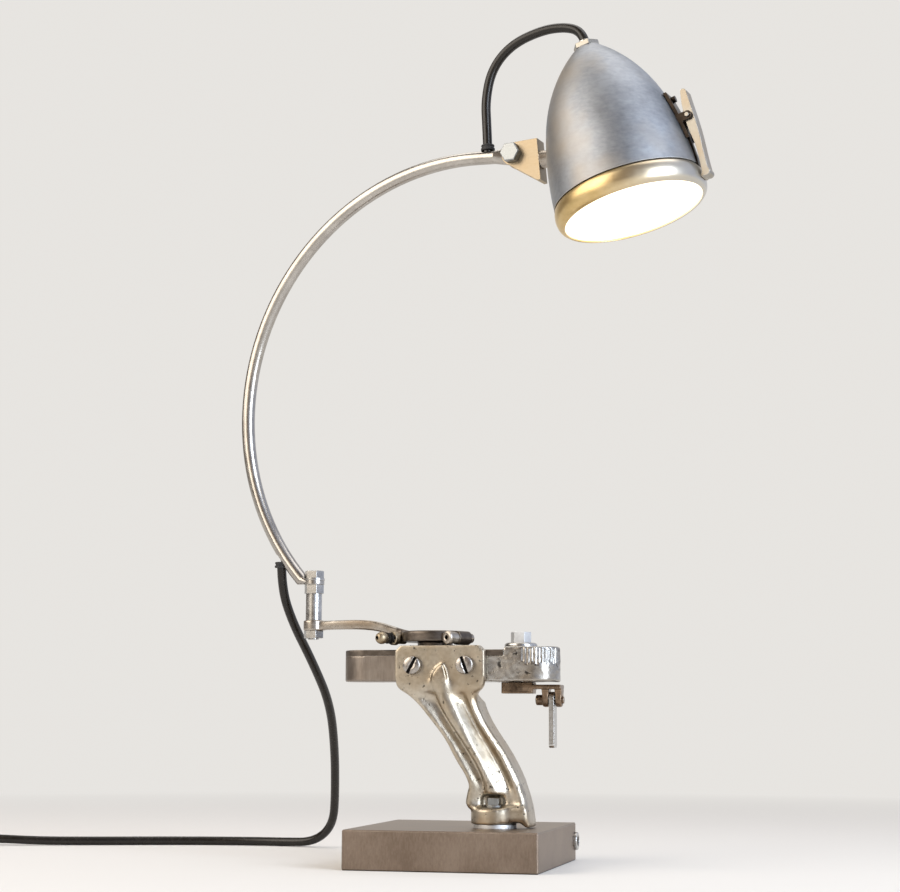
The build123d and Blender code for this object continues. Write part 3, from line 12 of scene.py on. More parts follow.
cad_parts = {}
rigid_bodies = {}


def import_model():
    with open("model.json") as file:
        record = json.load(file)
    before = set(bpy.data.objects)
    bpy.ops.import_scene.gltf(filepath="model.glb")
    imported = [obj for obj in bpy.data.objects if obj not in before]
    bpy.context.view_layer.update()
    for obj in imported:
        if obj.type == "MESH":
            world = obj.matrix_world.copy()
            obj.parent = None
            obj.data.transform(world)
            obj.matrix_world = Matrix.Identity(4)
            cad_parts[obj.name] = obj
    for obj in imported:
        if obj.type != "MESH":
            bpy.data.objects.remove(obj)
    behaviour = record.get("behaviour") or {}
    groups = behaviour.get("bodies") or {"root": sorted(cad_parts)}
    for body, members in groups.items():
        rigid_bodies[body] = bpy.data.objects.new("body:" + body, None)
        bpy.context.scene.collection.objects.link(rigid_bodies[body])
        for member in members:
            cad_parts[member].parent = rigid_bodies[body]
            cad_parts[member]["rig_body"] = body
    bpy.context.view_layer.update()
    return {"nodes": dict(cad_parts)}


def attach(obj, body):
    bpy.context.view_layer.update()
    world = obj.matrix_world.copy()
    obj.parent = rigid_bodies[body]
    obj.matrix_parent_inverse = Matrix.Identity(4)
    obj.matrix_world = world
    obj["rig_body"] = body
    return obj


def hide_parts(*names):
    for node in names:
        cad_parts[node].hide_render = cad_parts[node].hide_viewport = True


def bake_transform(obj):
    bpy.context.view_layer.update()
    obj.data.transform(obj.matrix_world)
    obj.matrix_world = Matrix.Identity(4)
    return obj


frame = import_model()
nodes = frame["nodes"]

# %% [markdown]
# ## Camera
# A camera can be aimed by a constraint or by eye. Here its place, pan, tilt and roll are typed in,
# so that each can be read and changed by itself. It is a long lens in a low place, a little to the
# right of the lamp and looking slightly upwards, which keeps the block's edges nearly parallel.

# %% Camera
CAMERA_PLACE = (0.3233, -1.3909, 0.1025)
PAN, TILT, ROLL = math.radians(13.52), math.radians(98.18), math.radians(0.24)
camera = bpy.data.objects.new("camera", bpy.data.cameras.new("camera"))
bpy.context.collection.objects.link(camera)
camera.data.lens = 76.96
camera.data.sensor_width = 36.0
camera.data.clip_start = 0.05
camera.data.clip_end = 30.0
camera.matrix_world = (Matrix.Translation(CAMERA_PLACE) @ Matrix.Rotation(PAN, 4, "Z")
                       @ Matrix.Rotation(TILT, 4, "X") @ Matrix.Rotation(ROLL, 4, "Z"))
bpy.context.scene.camera = camera
print("camera lens", camera.data.lens)

# %% [markdown]
# ## Cord
# The lead is one round black cord in four stretches. A cord could be a row of cylinders, but a
# NURBS curve with a few given points bends as a real lead does, with no corners. Where a
# stretch crosses a joint it has to bend, and each stretch becomes a mesh tube.

# %% Cord helpers
CORD = 0.007  # the lead's diameter


def route_curve(name, points):
    """A smooth curve in space with the route's points as its control points."""
    curve = bpy.data.curves.new(name, "CURVE")
    curve.dimensions = "3D"
    curve.resolution_u = 10
    spline = curve.splines.new("NURBS")
    spline.points.add(len(points) - 1)
    for point, place in zip(spline.points, points):
        point.co = (*place, 1.0)
    spline.order_u = 3
    spline.use_endpoint_u = True
    return curve


def centre_line(curve):
    """The points along a curve's own line."""
    probe = bpy.data.objects.new("probe", curve)
    line = [vertex.co.copy() for vertex in bpy.data.meshes.new_from_object(probe).vertices]
    bpy.data.objects.remove(probe)
    return line


def line_length(line):
    """The length along a row of points."""
    return sum((b - a).length for a, b in zip(line, line[1:]))


def cord_piece(name, points):
    """A tube along the route, as a mesh, and the line that it follows."""
    curve = route_curve(name, points)
    line = centre_line(curve)
    curve.bevel_depth = CORD / 2
    curve.bevel_resolution = 6
    curve.use_fill_caps = True
    source = bpy.data.objects.new(name + "_source", curve)
    mesh = bpy.data.meshes.new_from_object(source)
    bpy.data.objects.remove(source)
    piece = bpy.data.objects.new(name, mesh)
    bpy.context.collection.objects.link(piece)
    for polygon in mesh.polygons:
        polygon.use_smooth = True
    print(name, len(mesh.polygons), "faces,", round(line_length(line), 4), "m")
    return piece, line


# %% [markdown]
# ## Loop at the shade
# The lead leaves the shade through its gland, turns over in one high arch and goes down into the
# arm. The arch is what lets the shade tilt.

# %% Cord from the shade into the arm
loop_points = [
    (0.10239, -0.05580, 0.59550),
    (0.0998, -0.0552, 0.6035),
    (0.0880, -0.0527, 0.6090),
    (0.0690, -0.0487, 0.6095),
    (0.0450, -0.0436, 0.6020),
    (0.0295, -0.0403, 0.5855),
    (0.0244, -0.0392, 0.5620),
    (0.0256, -0.0395, 0.5410),
    (0.0264, -0.0396, 0.5208),
]
loop_cord, loop_line = cord_piece("loop_cord", loop_points)
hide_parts("cord_loop")
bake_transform(loop_cord)

# %% [markdown]
# ## Drop behind the crank
# The lead comes out of the arm's lower end and hangs down behind the crank. Two joints are close
# together here, so the drop is cut at the crank's side into an upper and a lower stretch.

# %% Cord from the arm to the crank's side
drop_points = [
    (-0.1411, -0.0040, 0.2216),
    (-0.1416, -0.0015, 0.2030),
    (-0.1380, 0.0140, 0.1785),
    (-0.1310, 0.0470, 0.1475),
    (-0.1291, 0.0640, 0.1320),
]
upper_cord, upper_line = cord_piece("upper_cord", drop_points)
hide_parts("cord_drop_upper")
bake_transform(upper_cord)

# %% Cord down to the floor and along it to the switch
floor_points = [
    (-0.1291, 0.0640, 0.1320),
    (-0.1272, 0.0810, 0.1165),
    (-0.1326, 0.1130, 0.0805),
    (-0.1394, 0.1376, 0.0450),
    (-0.1434, 0.1480, 0.0253),
    (-0.1499, 0.1542, 0.0149),
    (-0.1592, 0.1590, 0.0078),
    (-0.1707, 0.1625, 0.0041),
    (-0.1870, 0.1657, 0.0037),
    (-0.2150, 0.1673, 0.0036),
    (-0.2500, 0.1636, 0.0036),
    (-0.2960, 0.1510, 0.0036),
    (-0.3450, 0.1325, 0.0036),
    (-0.3900, 0.1168, 0.0038),
    (-0.4224, 0.1075, 0.0055),
    (-0.4400, 0.1040, 0.0055),
]
floor_cord, floor_line = cord_piece("floor_cord", floor_points)
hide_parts("cord_drop_lower", "cord_floor")
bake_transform(floor_cord)

# %% [markdown]
# ## Coil of the spare length
# Past the switch the spare lead is wound into a round coil of two layers, as for a shelf, with the
# plug beside it. The turns are more points of the same curve, a diameter apart, and a slow wave
# keeps them from looking like a machine's winding.

# %% Coil, from the switch to the plug
COIL_CENTRE = Vector((-0.534, 0.044, 0.0))
COIL_TURNS, POINTS_PER_TURN = 4.45, 16
COIL_START = math.radians(88)
OUTER, LOWER_INNER, UPPER_INNER = 0.0422, 0.0346, 0.0350
LOWER_LAYER, UPPER_LAYER = 0.0042, 0.0114
WINDING = [(0.9, OUTER, LOWER_LAYER), (2.1, LOWER_INNER, LOWER_LAYER),
           (3.1, UPPER_INNER, UPPER_LAYER), (COIL_TURNS, OUTER, UPPER_LAYER)]  # up to which turn
LOOSENESS, LOOSE_WAVES = 0.0004, 2.3
tail_points = [(-0.49885, 0.09230, 0.0055), (-0.51405, 0.08927, 0.0055)]
for step in range(round(COIL_TURNS * POINTS_PER_TURN) + 1):
    turn = step / POINTS_PER_TURN
    angle = COIL_START + 2 * math.pi * turn
    radius, height = next(row[1:] for row in WINDING if turn < row[0])
    radius += LOOSENESS * math.sin(LOOSE_WAVES * angle)
    tail_points.append((COIL_CENTRE.x + radius * math.cos(angle),
                        COIL_CENTRE.y + radius * math.sin(angle), height))
tail_points += [(-0.5240, 0.0032, 0.0064), (-0.5040, 0.0005, 0.0073), (-0.4860, 0.0005, 0.0073)]
tail_cord, tail_line = cord_piece("tail_cord", tail_points)
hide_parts("cord_tail_in", "cord_coil", "cord_tail_out")
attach(tail_cord, "stand")

# %% [markdown]
# ## Materials
# The metals are worn steel, zinc and aluminium. An image wrapped round the lamp would stretch and
# repeat, so each finish is built from noise in object space and stays put when a piece moves: slow
# clouds of tone, a fine grain, small pits, dirt and painted shade in the corners and brighter,
# rubbed edges.

# %% A material and its nodes


def new_material(name):
    """A material, its node tree and its shader."""
    mat = bpy.data.materials.new(name)
    mat.use_nodes = True
    return mat, mat.node_tree, mat.node_tree.nodes["Principled BSDF"]


def feed(tree, node, inputs):
    """Set each socket to its value, or link it where that is another node's output."""
    for socket, value in inputs.items():
        if isinstance(value, bpy.types.NodeSocket):
            tree.links.new(value, node.inputs[socket])
        else:
            node.inputs[socket].default_value = value


def add_node(tree, kind, inputs=None):
    """A new shader node with its inputs fed."""
    node = tree.nodes.new("ShaderNode" + kind)
    feed(tree, node, inputs or {})
    return node


def object_place(tree):
    """The place on a piece, in metres from the origin."""
    return add_node(tree, "TexCoord").outputs["Object"]


def noise(tree, scale, stretch=(1, 1, 1), detail=4.0, roughness=0.55):
    """Noise between 0 and 1 in object space, squeezed along the axes by stretch."""
    mapping = add_node(tree, "Mapping", {"Vector": object_place(tree), "Scale": stretch})
    texture = add_node(tree, "TexNoise", {"Vector": mapping.outputs["Vector"], "Scale": scale,
                                          "Detail": detail, "Roughness": roughness})
    return texture.outputs["Fac"]


# %% Colours and ranges


def ramp(tree, value, stops):
    """Colour that follows a value through (place, colour) stops."""
    node = add_node(tree, "ValToRGB", {"Fac": value})
    elements = node.color_ramp.elements
    while len(elements) < len(stops):
        elements.new(0.5)
    for element, (place, colour) in zip(elements, stops):
        element.position = place
        element.color = (*colour, 1.0)
    return node.outputs["Color"]


def mix(tree, share, first, second, kind="MIX"):
    """Two colours mixed by a share, which is a number or a socket."""
    node = add_node(tree, "Mix")
    node.data_type = "RGBA"
    node.blend_type = kind
    first, second = [(*value, 1.0) if isinstance(value, tuple) else value
                     for value in (first, second)]
    feed(tree, node, {0: share, 6: first, 7: second})  # the factor and the two colours
    return node.outputs[2]


def scale_to(tree, value, low, high, from_low=0.3, from_high=0.7):
    """A value moved from one range to another. Noise stays mostly between 0.3 and 0.7."""
    node = add_node(tree, "MapRange", {"Value": value, "From Min": from_low,
                                       "From Max": from_high, "To Min": low, "To Max": high})
    return node.outputs["Result"]


# %% Rubbed edges, dirty corners with painted shade, and bumps


def rounded_normal(tree, radius):
    """The surface's normal with its edges softened by a radius."""
    bevel = add_node(tree, "Bevel", {"Radius": radius})
    bevel.samples = 6
    return bevel.outputs["Normal"]


def edge_share(tree, normal, strength):
    """Near 1 on rubbed edges and 0 on flats."""
    geometry = add_node(tree, "NewGeometry")
    dot = add_node(tree, "VectorMath", {0: normal, 1: geometry.outputs["Normal"]})
    dot.operation = "DOT_PRODUCT"
    return scale_to(tree, dot.outputs["Value"], strength, 0.0, 0.90, 0.995)


def corner_grime_and_shade(tree, reach):
    """1 in the open and near 0 in slots and corners, where shade falls: a mask for grime and
    painted shade.
    """
    shade = add_node(tree, "AmbientOcclusion", {"Distance": reach})
    shade.samples = 8
    return scale_to(tree, shade.outputs["AO"], 0.0, 1.0, 0.18, 0.80)


def bumped(tree, shader, height, distance, strength, under=None):
    """Bumps on a shader, on top of the normal under them."""
    node = add_node(tree, "Bump", {"Height": height, "Distance": distance, "Strength": strength})
    if under is not None:
        feed(tree, node, {"Normal": under})
    feed(tree, shader, {"Normal": node.outputs["Normal"]})
    return node.outputs["Normal"]


# %% Worn metal
# A dark brown laid where occlusion is strong: grime, and a painted shade in corners and slots.
SOIL_AND_SHADE = (0.045, 0.030, 0.020)
GRAIN_SHARE, PATCH_SHARE, RUB_SHARE, PIT_SHARE, SOIL_AND_SHADE_SHARE = 0.35, 0.8, 0.8, 0.8, 0.82
PIT_DEPTH, BUMP_STRENGTH = 0.0002, 0.6


def metal(name, dark, light, rough, grain=(1, 1, 1), grain_scale=700.0, cloud_scale=45.0,
          bump=0.00004, pits=None, rubbed=(0.75, 0.73, 0.70), rub_radius=0.0005, grime_and_shade_reach=0.0025,
          patch=None, reflection_fade=None, spread=0.09):
    """Grain and clouds, with optional pits, patches and a painted reflection that turns to another
    tone along X.
    """
    mat, tree, shader = new_material(name)
    clouds = noise(tree, cloud_scale, detail=5.0, roughness=0.6)
    lines = noise(tree, grain_scale, grain, detail=3.0)
    tone = mix(tree, GRAIN_SHARE, clouds, lines)
    colour = ramp(tree, tone, [(0.36, dark), (0.62, light)])
    if patch:
        slow_clouds = noise(tree, cloud_scale * 0.45, detail=3.0)
        share = scale_to(tree, slow_clouds, 0.0, PATCH_SHARE, 0.46, 0.66)
        colour = mix(tree, share, colour, patch)
    # A painted reflection: the colour turns to another tone along X.
    if reflection_fade:
        start, end, far_tone = reflection_fade
        across = add_node(tree, "SeparateXYZ", {"Vector": object_place(tree)})
        share = scale_to(tree, across.outputs["X"], 0.0, 0.9, start, end)
        colour = mix(tree, share, colour, far_tone)
    under = rounded_normal(tree, rub_radius)
    colour = mix(tree, edge_share(tree, under, RUB_SHARE), colour, rubbed)
    if pits:
        spots = noise(tree, pits, detail=2.0, roughness=0.5)
        hole = ramp(tree, spots, [(0.27, (0, 0, 0)), (0.36, (1, 1, 1))])
        colour = mix(tree, PIT_SHARE, colour, hole, "MULTIPLY")
        under = bumped(tree, shader, hole, PIT_DEPTH, BUMP_STRENGTH, under)
    # Slots and corners go dark brown by occlusion: grime and painted shade.
    soiled_and_shaded = mix(tree, SOIL_AND_SHADE_SHARE, colour, SOIL_AND_SHADE)
    colour = mix(tree, corner_grime_and_shade(tree, grime_and_shade_reach), soiled_and_shaded, colour)
    shine = scale_to(tree, tone, rough - spread, rough + spread)
    feed(tree, shader, {"Base Color": colour, "Metallic": 1.0, "Roughness": shine})
    bumped(tree, shader, lines, bump, BUMP_STRENGTH, under)
    return mat


# %% Plastic, rubber and felt


def plain(name, colour, second, rough, scale=180.0, bump=0.00003, sheen=0.0, gloss=0.5):
    """A dull or glossy surface of two near tones, finely broken."""
    mat, tree, shader = new_material(name)
    cloud = noise(tree, scale, detail=5.0)
    tone = ramp(tree, cloud, [(0.35, colour), (0.68, second)])
    shine = scale_to(tree, cloud, rough - 0.06, rough + 0.08)
    feed(tree, shader, {"Base Color": tone, "Roughness": shine, "Sheen Weight": sheen,
                        "Specular IOR Level": gloss})
    bumped(tree, shader, noise(tree, 6 * scale), bump, 0.5)
    return mat


def dress(mat, *names):
    """Give CAD nodes or new pieces one material."""
    for name in names:
        piece = nodes.get(name) or bpy.data.objects[name]
        piece.data.materials.clear()
        piece.data.materials.append(mat)


# %% [markdown]
# ## Steel of the foot, the castings and the crank
# The block is ground steel with a brown film and a fine upright grain. The strut is cast, polished
# by hand and pitted, the head greyer and coarser, and the bar and the crank darker and oiled. One
# recipe serves them all, and the tones, the grain's direction and the pits tell them apart.

# %% Steel finishes
block_steel = metal("block_steel", (0.225, 0.170, 0.130), (0.320, 0.255, 0.203), 0.42,
                    grain=(1.0, 1.0, 0.35), grain_scale=900, cloud_scale=26, bump=0.00002,
                    rubbed=(0.44, 0.39, 0.34), rub_radius=0.0006, grime_and_shade_reach=0.003, spread=0.05)
cast_steel = metal("cast_steel", (0.40, 0.345, 0.265), (0.60, 0.54, 0.445), 0.34,
                   grain_scale=420, cloud_scale=60, bump=0.00008, pits=330,
                   rubbed=(0.72, 0.68, 0.60), rub_radius=0.0010, grime_and_shade_reach=0.0012,
                   patch=(0.43, 0.335, 0.225), spread=0.08)
ground_steel = metal("ground_steel", (0.36, 0.35, 0.335), (0.58, 0.575, 0.56), 0.26,
                     grain_scale=260, cloud_scale=38, bump=0.00005, pits=200,
                     rubbed=(0.76, 0.75, 0.74), rub_radius=0.0010, grime_and_shade_reach=0.003,
                     patch=(0.36, 0.31, 0.25), spread=0.05)
bar_steel = metal("bar_steel", (0.235, 0.195, 0.165), (0.34, 0.295, 0.255), 0.36,
                  grain=(1.0, 1.0, 0.12), grain_scale=800, cloud_scale=40, bump=0.00003,
                  rubbed=(0.50, 0.45, 0.40), grime_and_shade_reach=0.002)
oiled_steel = metal("oiled_steel", (0.10, 0.082, 0.068), (0.19, 0.16, 0.135), 0.34,
                    grain=(0.3, 1, 1), grain_scale=600, cloud_scale=50, bump=0.00002,
                    rubbed=(0.46, 0.42, 0.37), grime_and_shade_reach=0.002)
hub_steel = metal("hub_steel", (0.36, 0.32, 0.275), (0.56, 0.515, 0.455), 0.29,
                  grain=(0.35, 1, 1), grain_scale=500, cloud_scale=60,
                  bump=0.00003, rubbed=(0.66, 0.62, 0.57), patch=(0.34, 0.27, 0.20), grime_and_shade_reach=0.002)

# %% [markdown]
# ## Plated fasteners
# Nuts, bolts and washers are plated with zinc, which is pale, bluish and even, while the bracket
# has gone yellow. They are small, so their clouds are finer and their grime and painted corner
# shade reach less far.

# %% Plated finishes
bright_zinc = metal("bright_zinc", (0.44, 0.43, 0.41), (0.62, 0.61, 0.59), 0.24,
                    grain_scale=700, cloud_scale=140, bump=0.00002, rubbed=(0.78, 0.77, 0.75),
                    grime_and_shade_reach=0.0012)
bracket_steel = metal("bracket_steel", (0.35, 0.275, 0.18), (0.46, 0.375, 0.26), 0.42,
                      grain=(0.3, 1, 1), grain_scale=500, cloud_scale=90, bump=0.00003,
                      rubbed=(0.62, 0.54, 0.42), grime_and_shade_reach=0.0012)
cap_zinc = metal("cap_zinc", (0.26, 0.275, 0.28), (0.36, 0.375, 0.38), 0.34,
                 grain_scale=600, cloud_scale=120, bump=0.00002, rubbed=(0.60, 0.60, 0.58),
                 grime_and_shade_reach=0.0016)
washer_zinc = metal("washer_zinc", (0.66, 0.67, 0.68), (0.78, 0.79, 0.80), 0.5,
                    grain_scale=700, cloud_scale=140, bump=0.00001, rubbed=(0.85, 0.85, 0.84),
                    grime_and_shade_reach=0.0004)
screw_steel = metal("screw_steel", (0.35, 0.32, 0.29), (0.52, 0.485, 0.445), 0.28,
                    grain=(1, 0.2, 1), grain_scale=500, cloud_scale=90, bump=0.00003,
                    rubbed=(0.72, 0.68, 0.63), grime_and_shade_reach=0.002)

# %% [markdown]
# ## Arm, shade and latch
# The arm's tube is polished steel. The shade is spun aluminium, brushed round and round, so its
# grain is finer along its axis than across, and its warm patches are a painted reflection of a
# wooden room. The rim's gold is a painted reflection of the wooden table lit by the lamp, and it
# turns grey towards the latch along X rather than by a second piece.

# %% Arm, shade and latch finishes
tube_steel = metal("tube_steel", (0.40, 0.37, 0.335), (0.53, 0.50, 0.46), 0.24,
                   grain_scale=380, cloud_scale=60, bump=0.00001, grime_and_shade_reach=0.001, spread=0.05)
# The shade's warm patches are a painted reflection of the wooden room round the lamp.
shade_aluminium = metal("shade_aluminium", (0.265, 0.28, 0.305), (0.40, 0.42, 0.455), 0.50,
                        grain=(0.5, 0.5, 1.0), grain_scale=420, cloud_scale=30,
                        bump=0.00001, patch=(0.41, 0.365, 0.31), grime_and_shade_reach=0.001, spread=0.04)
# The rim's gold is a painted reflection of the wooden table lit by the lamp; towards +X it turns to
# the rim's own grey.
rim_metal = metal("rim_metal", (0.60, 0.42, 0.175), (0.74, 0.56, 0.28), 0.32,
                  grain=(0.5, 0.5, 1.0), grain_scale=300, cloud_scale=30, bump=0.000005,
                  rubbed=(0.82, 0.74, 0.55), grime_and_shade_reach=0.0008, reflection_fade=(0.12, 0.185, (0.66, 0.645, 0.60)),
                  spread=0.04)
dark_steel = metal("dark_steel", (0.095, 0.068, 0.048), (0.31, 0.22, 0.15), 0.27,
                   grain_scale=300, cloud_scale=90, bump=0.00005, rubbed=(0.56, 0.45, 0.35),
                   grime_and_shade_reach=0.0015)
latch_metal = metal("latch_metal", (0.36, 0.335, 0.29), (0.46, 0.43, 0.375), 0.33,
                    grain=(1, 1, 0.3), grain_scale=300, cloud_scale=60, bump=0.00001,
                    rubbed=(0.74, 0.72, 0.68), patch=(0.40, 0.31, 0.20), grime_and_shade_reach=0.0012)
black_steel = metal("black_steel", (0.016, 0.013, 0.011), (0.06, 0.045, 0.034), 0.36,
                    grain_scale=400, cloud_scale=90, bump=0.00002, rubbed=(0.22, 0.17, 0.13))

# %% [markdown]
# ## Reflector, brass, cord and plastic
# The cord's jacket is glossy black rubber, the plug and the switch are plastic, the grommets dull
# rubber and the pad felt. They aren't metal, so a plainer recipe gives them two near tones, and
# the felt some sheen.

# %% Other finishes
# Near black for the screw slots and the fittings' bores is a painted shade; on the ball's seals it
# is their black rubber.
slot_shade_and_seal_rubber = plain("slot_shade_and_seal_rubber", (0.006, 0.005, 0.004), (0.022, 0.017, 0.013), 0.6, gloss=0.2)
reflector_metal = metal("reflector_metal", (0.80, 0.79, 0.77), (0.92, 0.91, 0.89), 0.2,
                        bump=0.00001)
pin_brass = metal("pin_brass", (0.56, 0.46, 0.24), (0.74, 0.64, 0.38), 0.24, bump=0.00002,
                  rubbed=(0.85, 0.76, 0.50))
cord_jacket = plain("cord_jacket", (0.007, 0.005, 0.003), (0.014, 0.011, 0.008), 0.24,
                    bump=0.00001, gloss=0.45)
plug_plastic = plain("plug_plastic", (0.008, 0.008, 0.008), (0.02, 0.02, 0.02), 0.34)
seal_rubber = plain("seal_rubber", (0.015, 0.015, 0.015), (0.035, 0.035, 0.035), 0.6)
pad_felt = plain("pad_felt", (0.03, 0.03, 0.03), (0.07, 0.07, 0.07), 0.9, bump=0.0001, sheen=0.4)
print("finishes", len(bpy.data.materials))

# %% [markdown]
# ## Lit glass
# The lamp is on, so its frosted glass is almost white, with a warm ring next to the rim. A real
# light behind glass would be slow and noisy, so the glass itself glows, and its tone follows the
# distance from its own middle.

# %% Lit glass
LENS_CENTRE = (0.1387, -0.0635, 0.4616)
WARM_FROM, WARM_TO, WARM = 0.041, 0.053, (1.0, 0.78, 0.42)
GLOW = 1.6
lens_glow, glow_tree, glow_shader = new_material("lens_glow")
glow_cloud = noise(glow_tree, 30.0)
glow_middle = ramp(glow_tree, glow_cloud, [(0.3, (1.0, 0.95, 0.84)), (0.7, (1.0, 0.98, 0.93))])
glow_offset = add_node(glow_tree, "VectorMath", {0: object_place(glow_tree), 1: LENS_CENTRE})
glow_offset.operation = "DISTANCE"
glow_edge = scale_to(glow_tree, glow_offset.outputs["Value"], 0.0, 1.0, WARM_FROM, WARM_TO)
feed(glow_tree, glow_shader, {
    "Emission Color": mix(glow_tree, glow_edge, glow_middle, WARM), "Emission Strength": GLOW,
    "Base Color": (0.9, 0.88, 0.82, 1.0), "Roughness": 0.15})
print("glass glows at", GLOW)

# %% [markdown]
# ## Turned and small pieces
# Screws, fittings, the rim and the cord's sleeves are all round. They could be spun from a profile,
# but here each starts as a circle that is extruded ring by ring along its axis and scaled as it
# goes, as a lathe tool would follow it, so the list of rings reads like a drawing.

# %% Turning helper
MM = 1000  # millimetres in a metre
POLE = 0.00001  # the radius of a ring that closes an end
MERGE = 0.00003  # points nearer than this become one


def turned(name, rings, place, up, sides=48, crease=35):
    """A closed turned piece. rings holds (radius, height) in millimetres along the axis up."""
    rings = [(max(radius / MM, POLE), height / MM) for radius, height in rings]
    radius, height = rings[0]
    bpy.ops.object.select_all(action="DESELECT")
    bpy.ops.mesh.primitive_circle_add(vertices=sides, radius=radius, location=(0, 0, height))
    piece = bpy.context.object
    piece.name = piece.data.name = name
    bpy.ops.object.transform_apply(location=True)
    bpy.ops.object.mode_set(mode="EDIT")
    bpy.ops.mesh.select_mode(type="VERT")
    bpy.ops.mesh.select_all(action="SELECT")
    for next_radius, next_height in rings[1:]:
        rise = {"value": (0, 0, next_height - height)}
        bpy.ops.mesh.extrude_region_move(TRANSFORM_OT_translate=rise)
        share = next_radius / radius
        bpy.ops.transform.resize(value=(share, share, 1), center_override=(0, 0, next_height))
        radius, height = next_radius, next_height
    bpy.ops.mesh.select_all(action="SELECT")
    bpy.ops.mesh.remove_doubles(threshold=MERGE)
    bpy.ops.mesh.normals_make_consistent(inside=False)
    bpy.ops.object.mode_set(mode="OBJECT")
    turn = Vector((0, 0, 1)).rotation_difference(Vector(up)).to_matrix().to_4x4()
    piece.data.transform(Matrix.Translation(place) @ turn)
    bpy.ops.object.shade_smooth_by_angle(angle=math.radians(crease))
    print(name, len(piece.data.polygons), "faces")
    return piece


def colour_faces(piece, mat, test):
    """A second material on the faces whose middle passes a test."""
    piece.data.materials.append(mat)
    spare = len(piece.data.materials) - 1
    for polygon in piece.data.polygons:
        if test(polygon.center):
            polygon.material_index = spare


# %% [markdown]
# ## Castings
# The strut and the head were cast, then ground and polished by hand, so their corners are round
# and one surface flows into the next. They could be sculpted, but then they would no longer fit the
# frame. Each is a copy of the frame's own solid instead: its loose triangles are merged, Remesh
# gives it an even skin and Smooth wears the corners down. A vertex group holds back the edges that
# stay crisp.

# %% Picking a piece and applying its modifiers


def pick_only(piece):
    """Select one piece and nothing else."""
    bpy.ops.object.select_all(action="DESELECT")
    piece.select_set(True)
    bpy.context.view_layer.objects.active = piece


def apply_all(piece):
    """Apply a piece's modifiers in their order."""
    pick_only(piece)
    for modifier in list(piece.modifiers):
        bpy.ops.object.modifier_apply(modifier=modifier.name)


# %% Wearing and pressing
WORN = "worn"  # the vertex group that every step reads


def clamp(value):
    """A value kept between 0 and 1."""
    return max(0.0, min(1.0, value))


def weigh(piece, softness):
    """The worn group, from a function that gives 0 to 1 at each place."""
    group = piece.vertex_groups.new(name=WORN)
    for vertex in piece.data.vertices:
        group.add([vertex.index], softness(vertex.co), "REPLACE")


def finish_worn(piece):
    """Apply the modifiers that read the worn group, then drop the group."""
    apply_all(piece)
    piece.vertex_groups.clear()


def add_wear(piece, rounds, softness):
    """A Smooth modifier that works where the piece is soft."""
    weigh(piece, softness)
    wear = piece.modifiers.new("wear", "SMOOTH")
    wear.factor = 0.5
    wear.iterations = rounds
    wear.vertex_group = WORN


def wear_more(piece, rounds, softness):
    """Smooth a finished casting again, in another place."""
    add_wear(piece, rounds, softness)
    finish_worn(piece)
    print(piece.name, "worn", rounds, "rounds more")


def press_in(piece, softness, depth, way="NORMAL"):
    """Push a casting's skin in, against its normals or along one axis."""
    weigh(piece, softness)
    press = piece.modifiers.new("press", "DISPLACE")
    press.direction = way
    press.strength = -depth
    press.mid_level = 0.0
    press.vertex_group = WORN
    finish_worn(piece)
    print(piece.name, "pressed in", depth, "m")


# %% Worn copy of a node


def worn_copy(name, node, voxel, rounds, softness, relief=None, add=()):
    """A copy of a node, joined with more solids, with its corners worn round."""
    mesh = nodes[node].data.copy()
    mesh.materials.clear()
    piece = bpy.data.objects.new(name, mesh)
    bpy.context.collection.objects.link(piece)
    pick_only(piece)
    bpy.ops.object.mode_set(mode="EDIT")
    bpy.ops.mesh.select_all(action="SELECT")
    bpy.ops.mesh.remove_doubles(threshold=0.000002)
    bpy.ops.object.mode_set(mode="OBJECT")
    for extra in add:
        extra.select_set(True)
    if add:
        bpy.ops.object.join()
    skin = piece.modifiers.new("skin", "REMESH")
    skin.mode = "VOXEL"
    skin.voxel_size = voxel
    apply_all(piece)
    add_wear(piece, rounds, softness)
    if relief:
        lumps = bpy.data.textures.new(name + "_lumps", "CLOUDS")
        lumps.noise_scale, depth = relief
        dents = piece.modifiers.new("dents", "DISPLACE")
        dents.texture = lumps
        dents.texture_coords = "LOCAL"
        dents.strength = depth
        dents.mid_level = 0.5
        dents.vertex_group = WORN
    finish_worn(piece)
    bpy.ops.object.shade_smooth()
    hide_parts(node)
    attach(piece, nodes[node]["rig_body"])
    print(name, len(piece.data.vertices), "points")
    return piece


# %% [markdown]
# ## Strut
# The strut leans from the foot bolt up to a flat clamp plate, and its ridge and webs run out into
# the plate. At its foot the metal closes round the bolt's head. A few blocks are joined to the copy
# there before it gets its skin, and Smooth then melts them in. The plate's outline, the back and
# the machined foot stay crisp. Places are compared in millimetres.

# %% Where the strut is soft
PLATE_LEFT, PLATE_RIGHT, PLATE_TOP, PLATE_FOOT = -42.4, 23.7, 157.7, 130.0
BACK_FACE, FOOT_FACE = -5.5, 33.0
SADDLE, SADDLE_REACH = 126.0, 9.0


def strut_softness(place):
    """Crisp along the clamp plate's outline, its back and the machined foot, soft elsewhere."""
    x, y, z = place * MM
    if y > BACK_FACE or z < FOOT_FACE:
        return 0.12
    if z > PLATE_FOOT:
        edge = min(x - PLATE_LEFT, PLATE_RIGHT - x, PLATE_TOP - z)
        return 0.15 if edge < 2.0 else 0.7
    return 1.0


def saddle_softness(place):
    """Only where the clamp plate's lower edge runs into the strut's shoulders and ridge."""
    x, y, z = place * MM
    reach = 1.0 - abs(z - SADDLE) / SADDLE_REACH
    return clamp(1.6 * reach) if y < -8.0 or x > 8.0 else 0.0


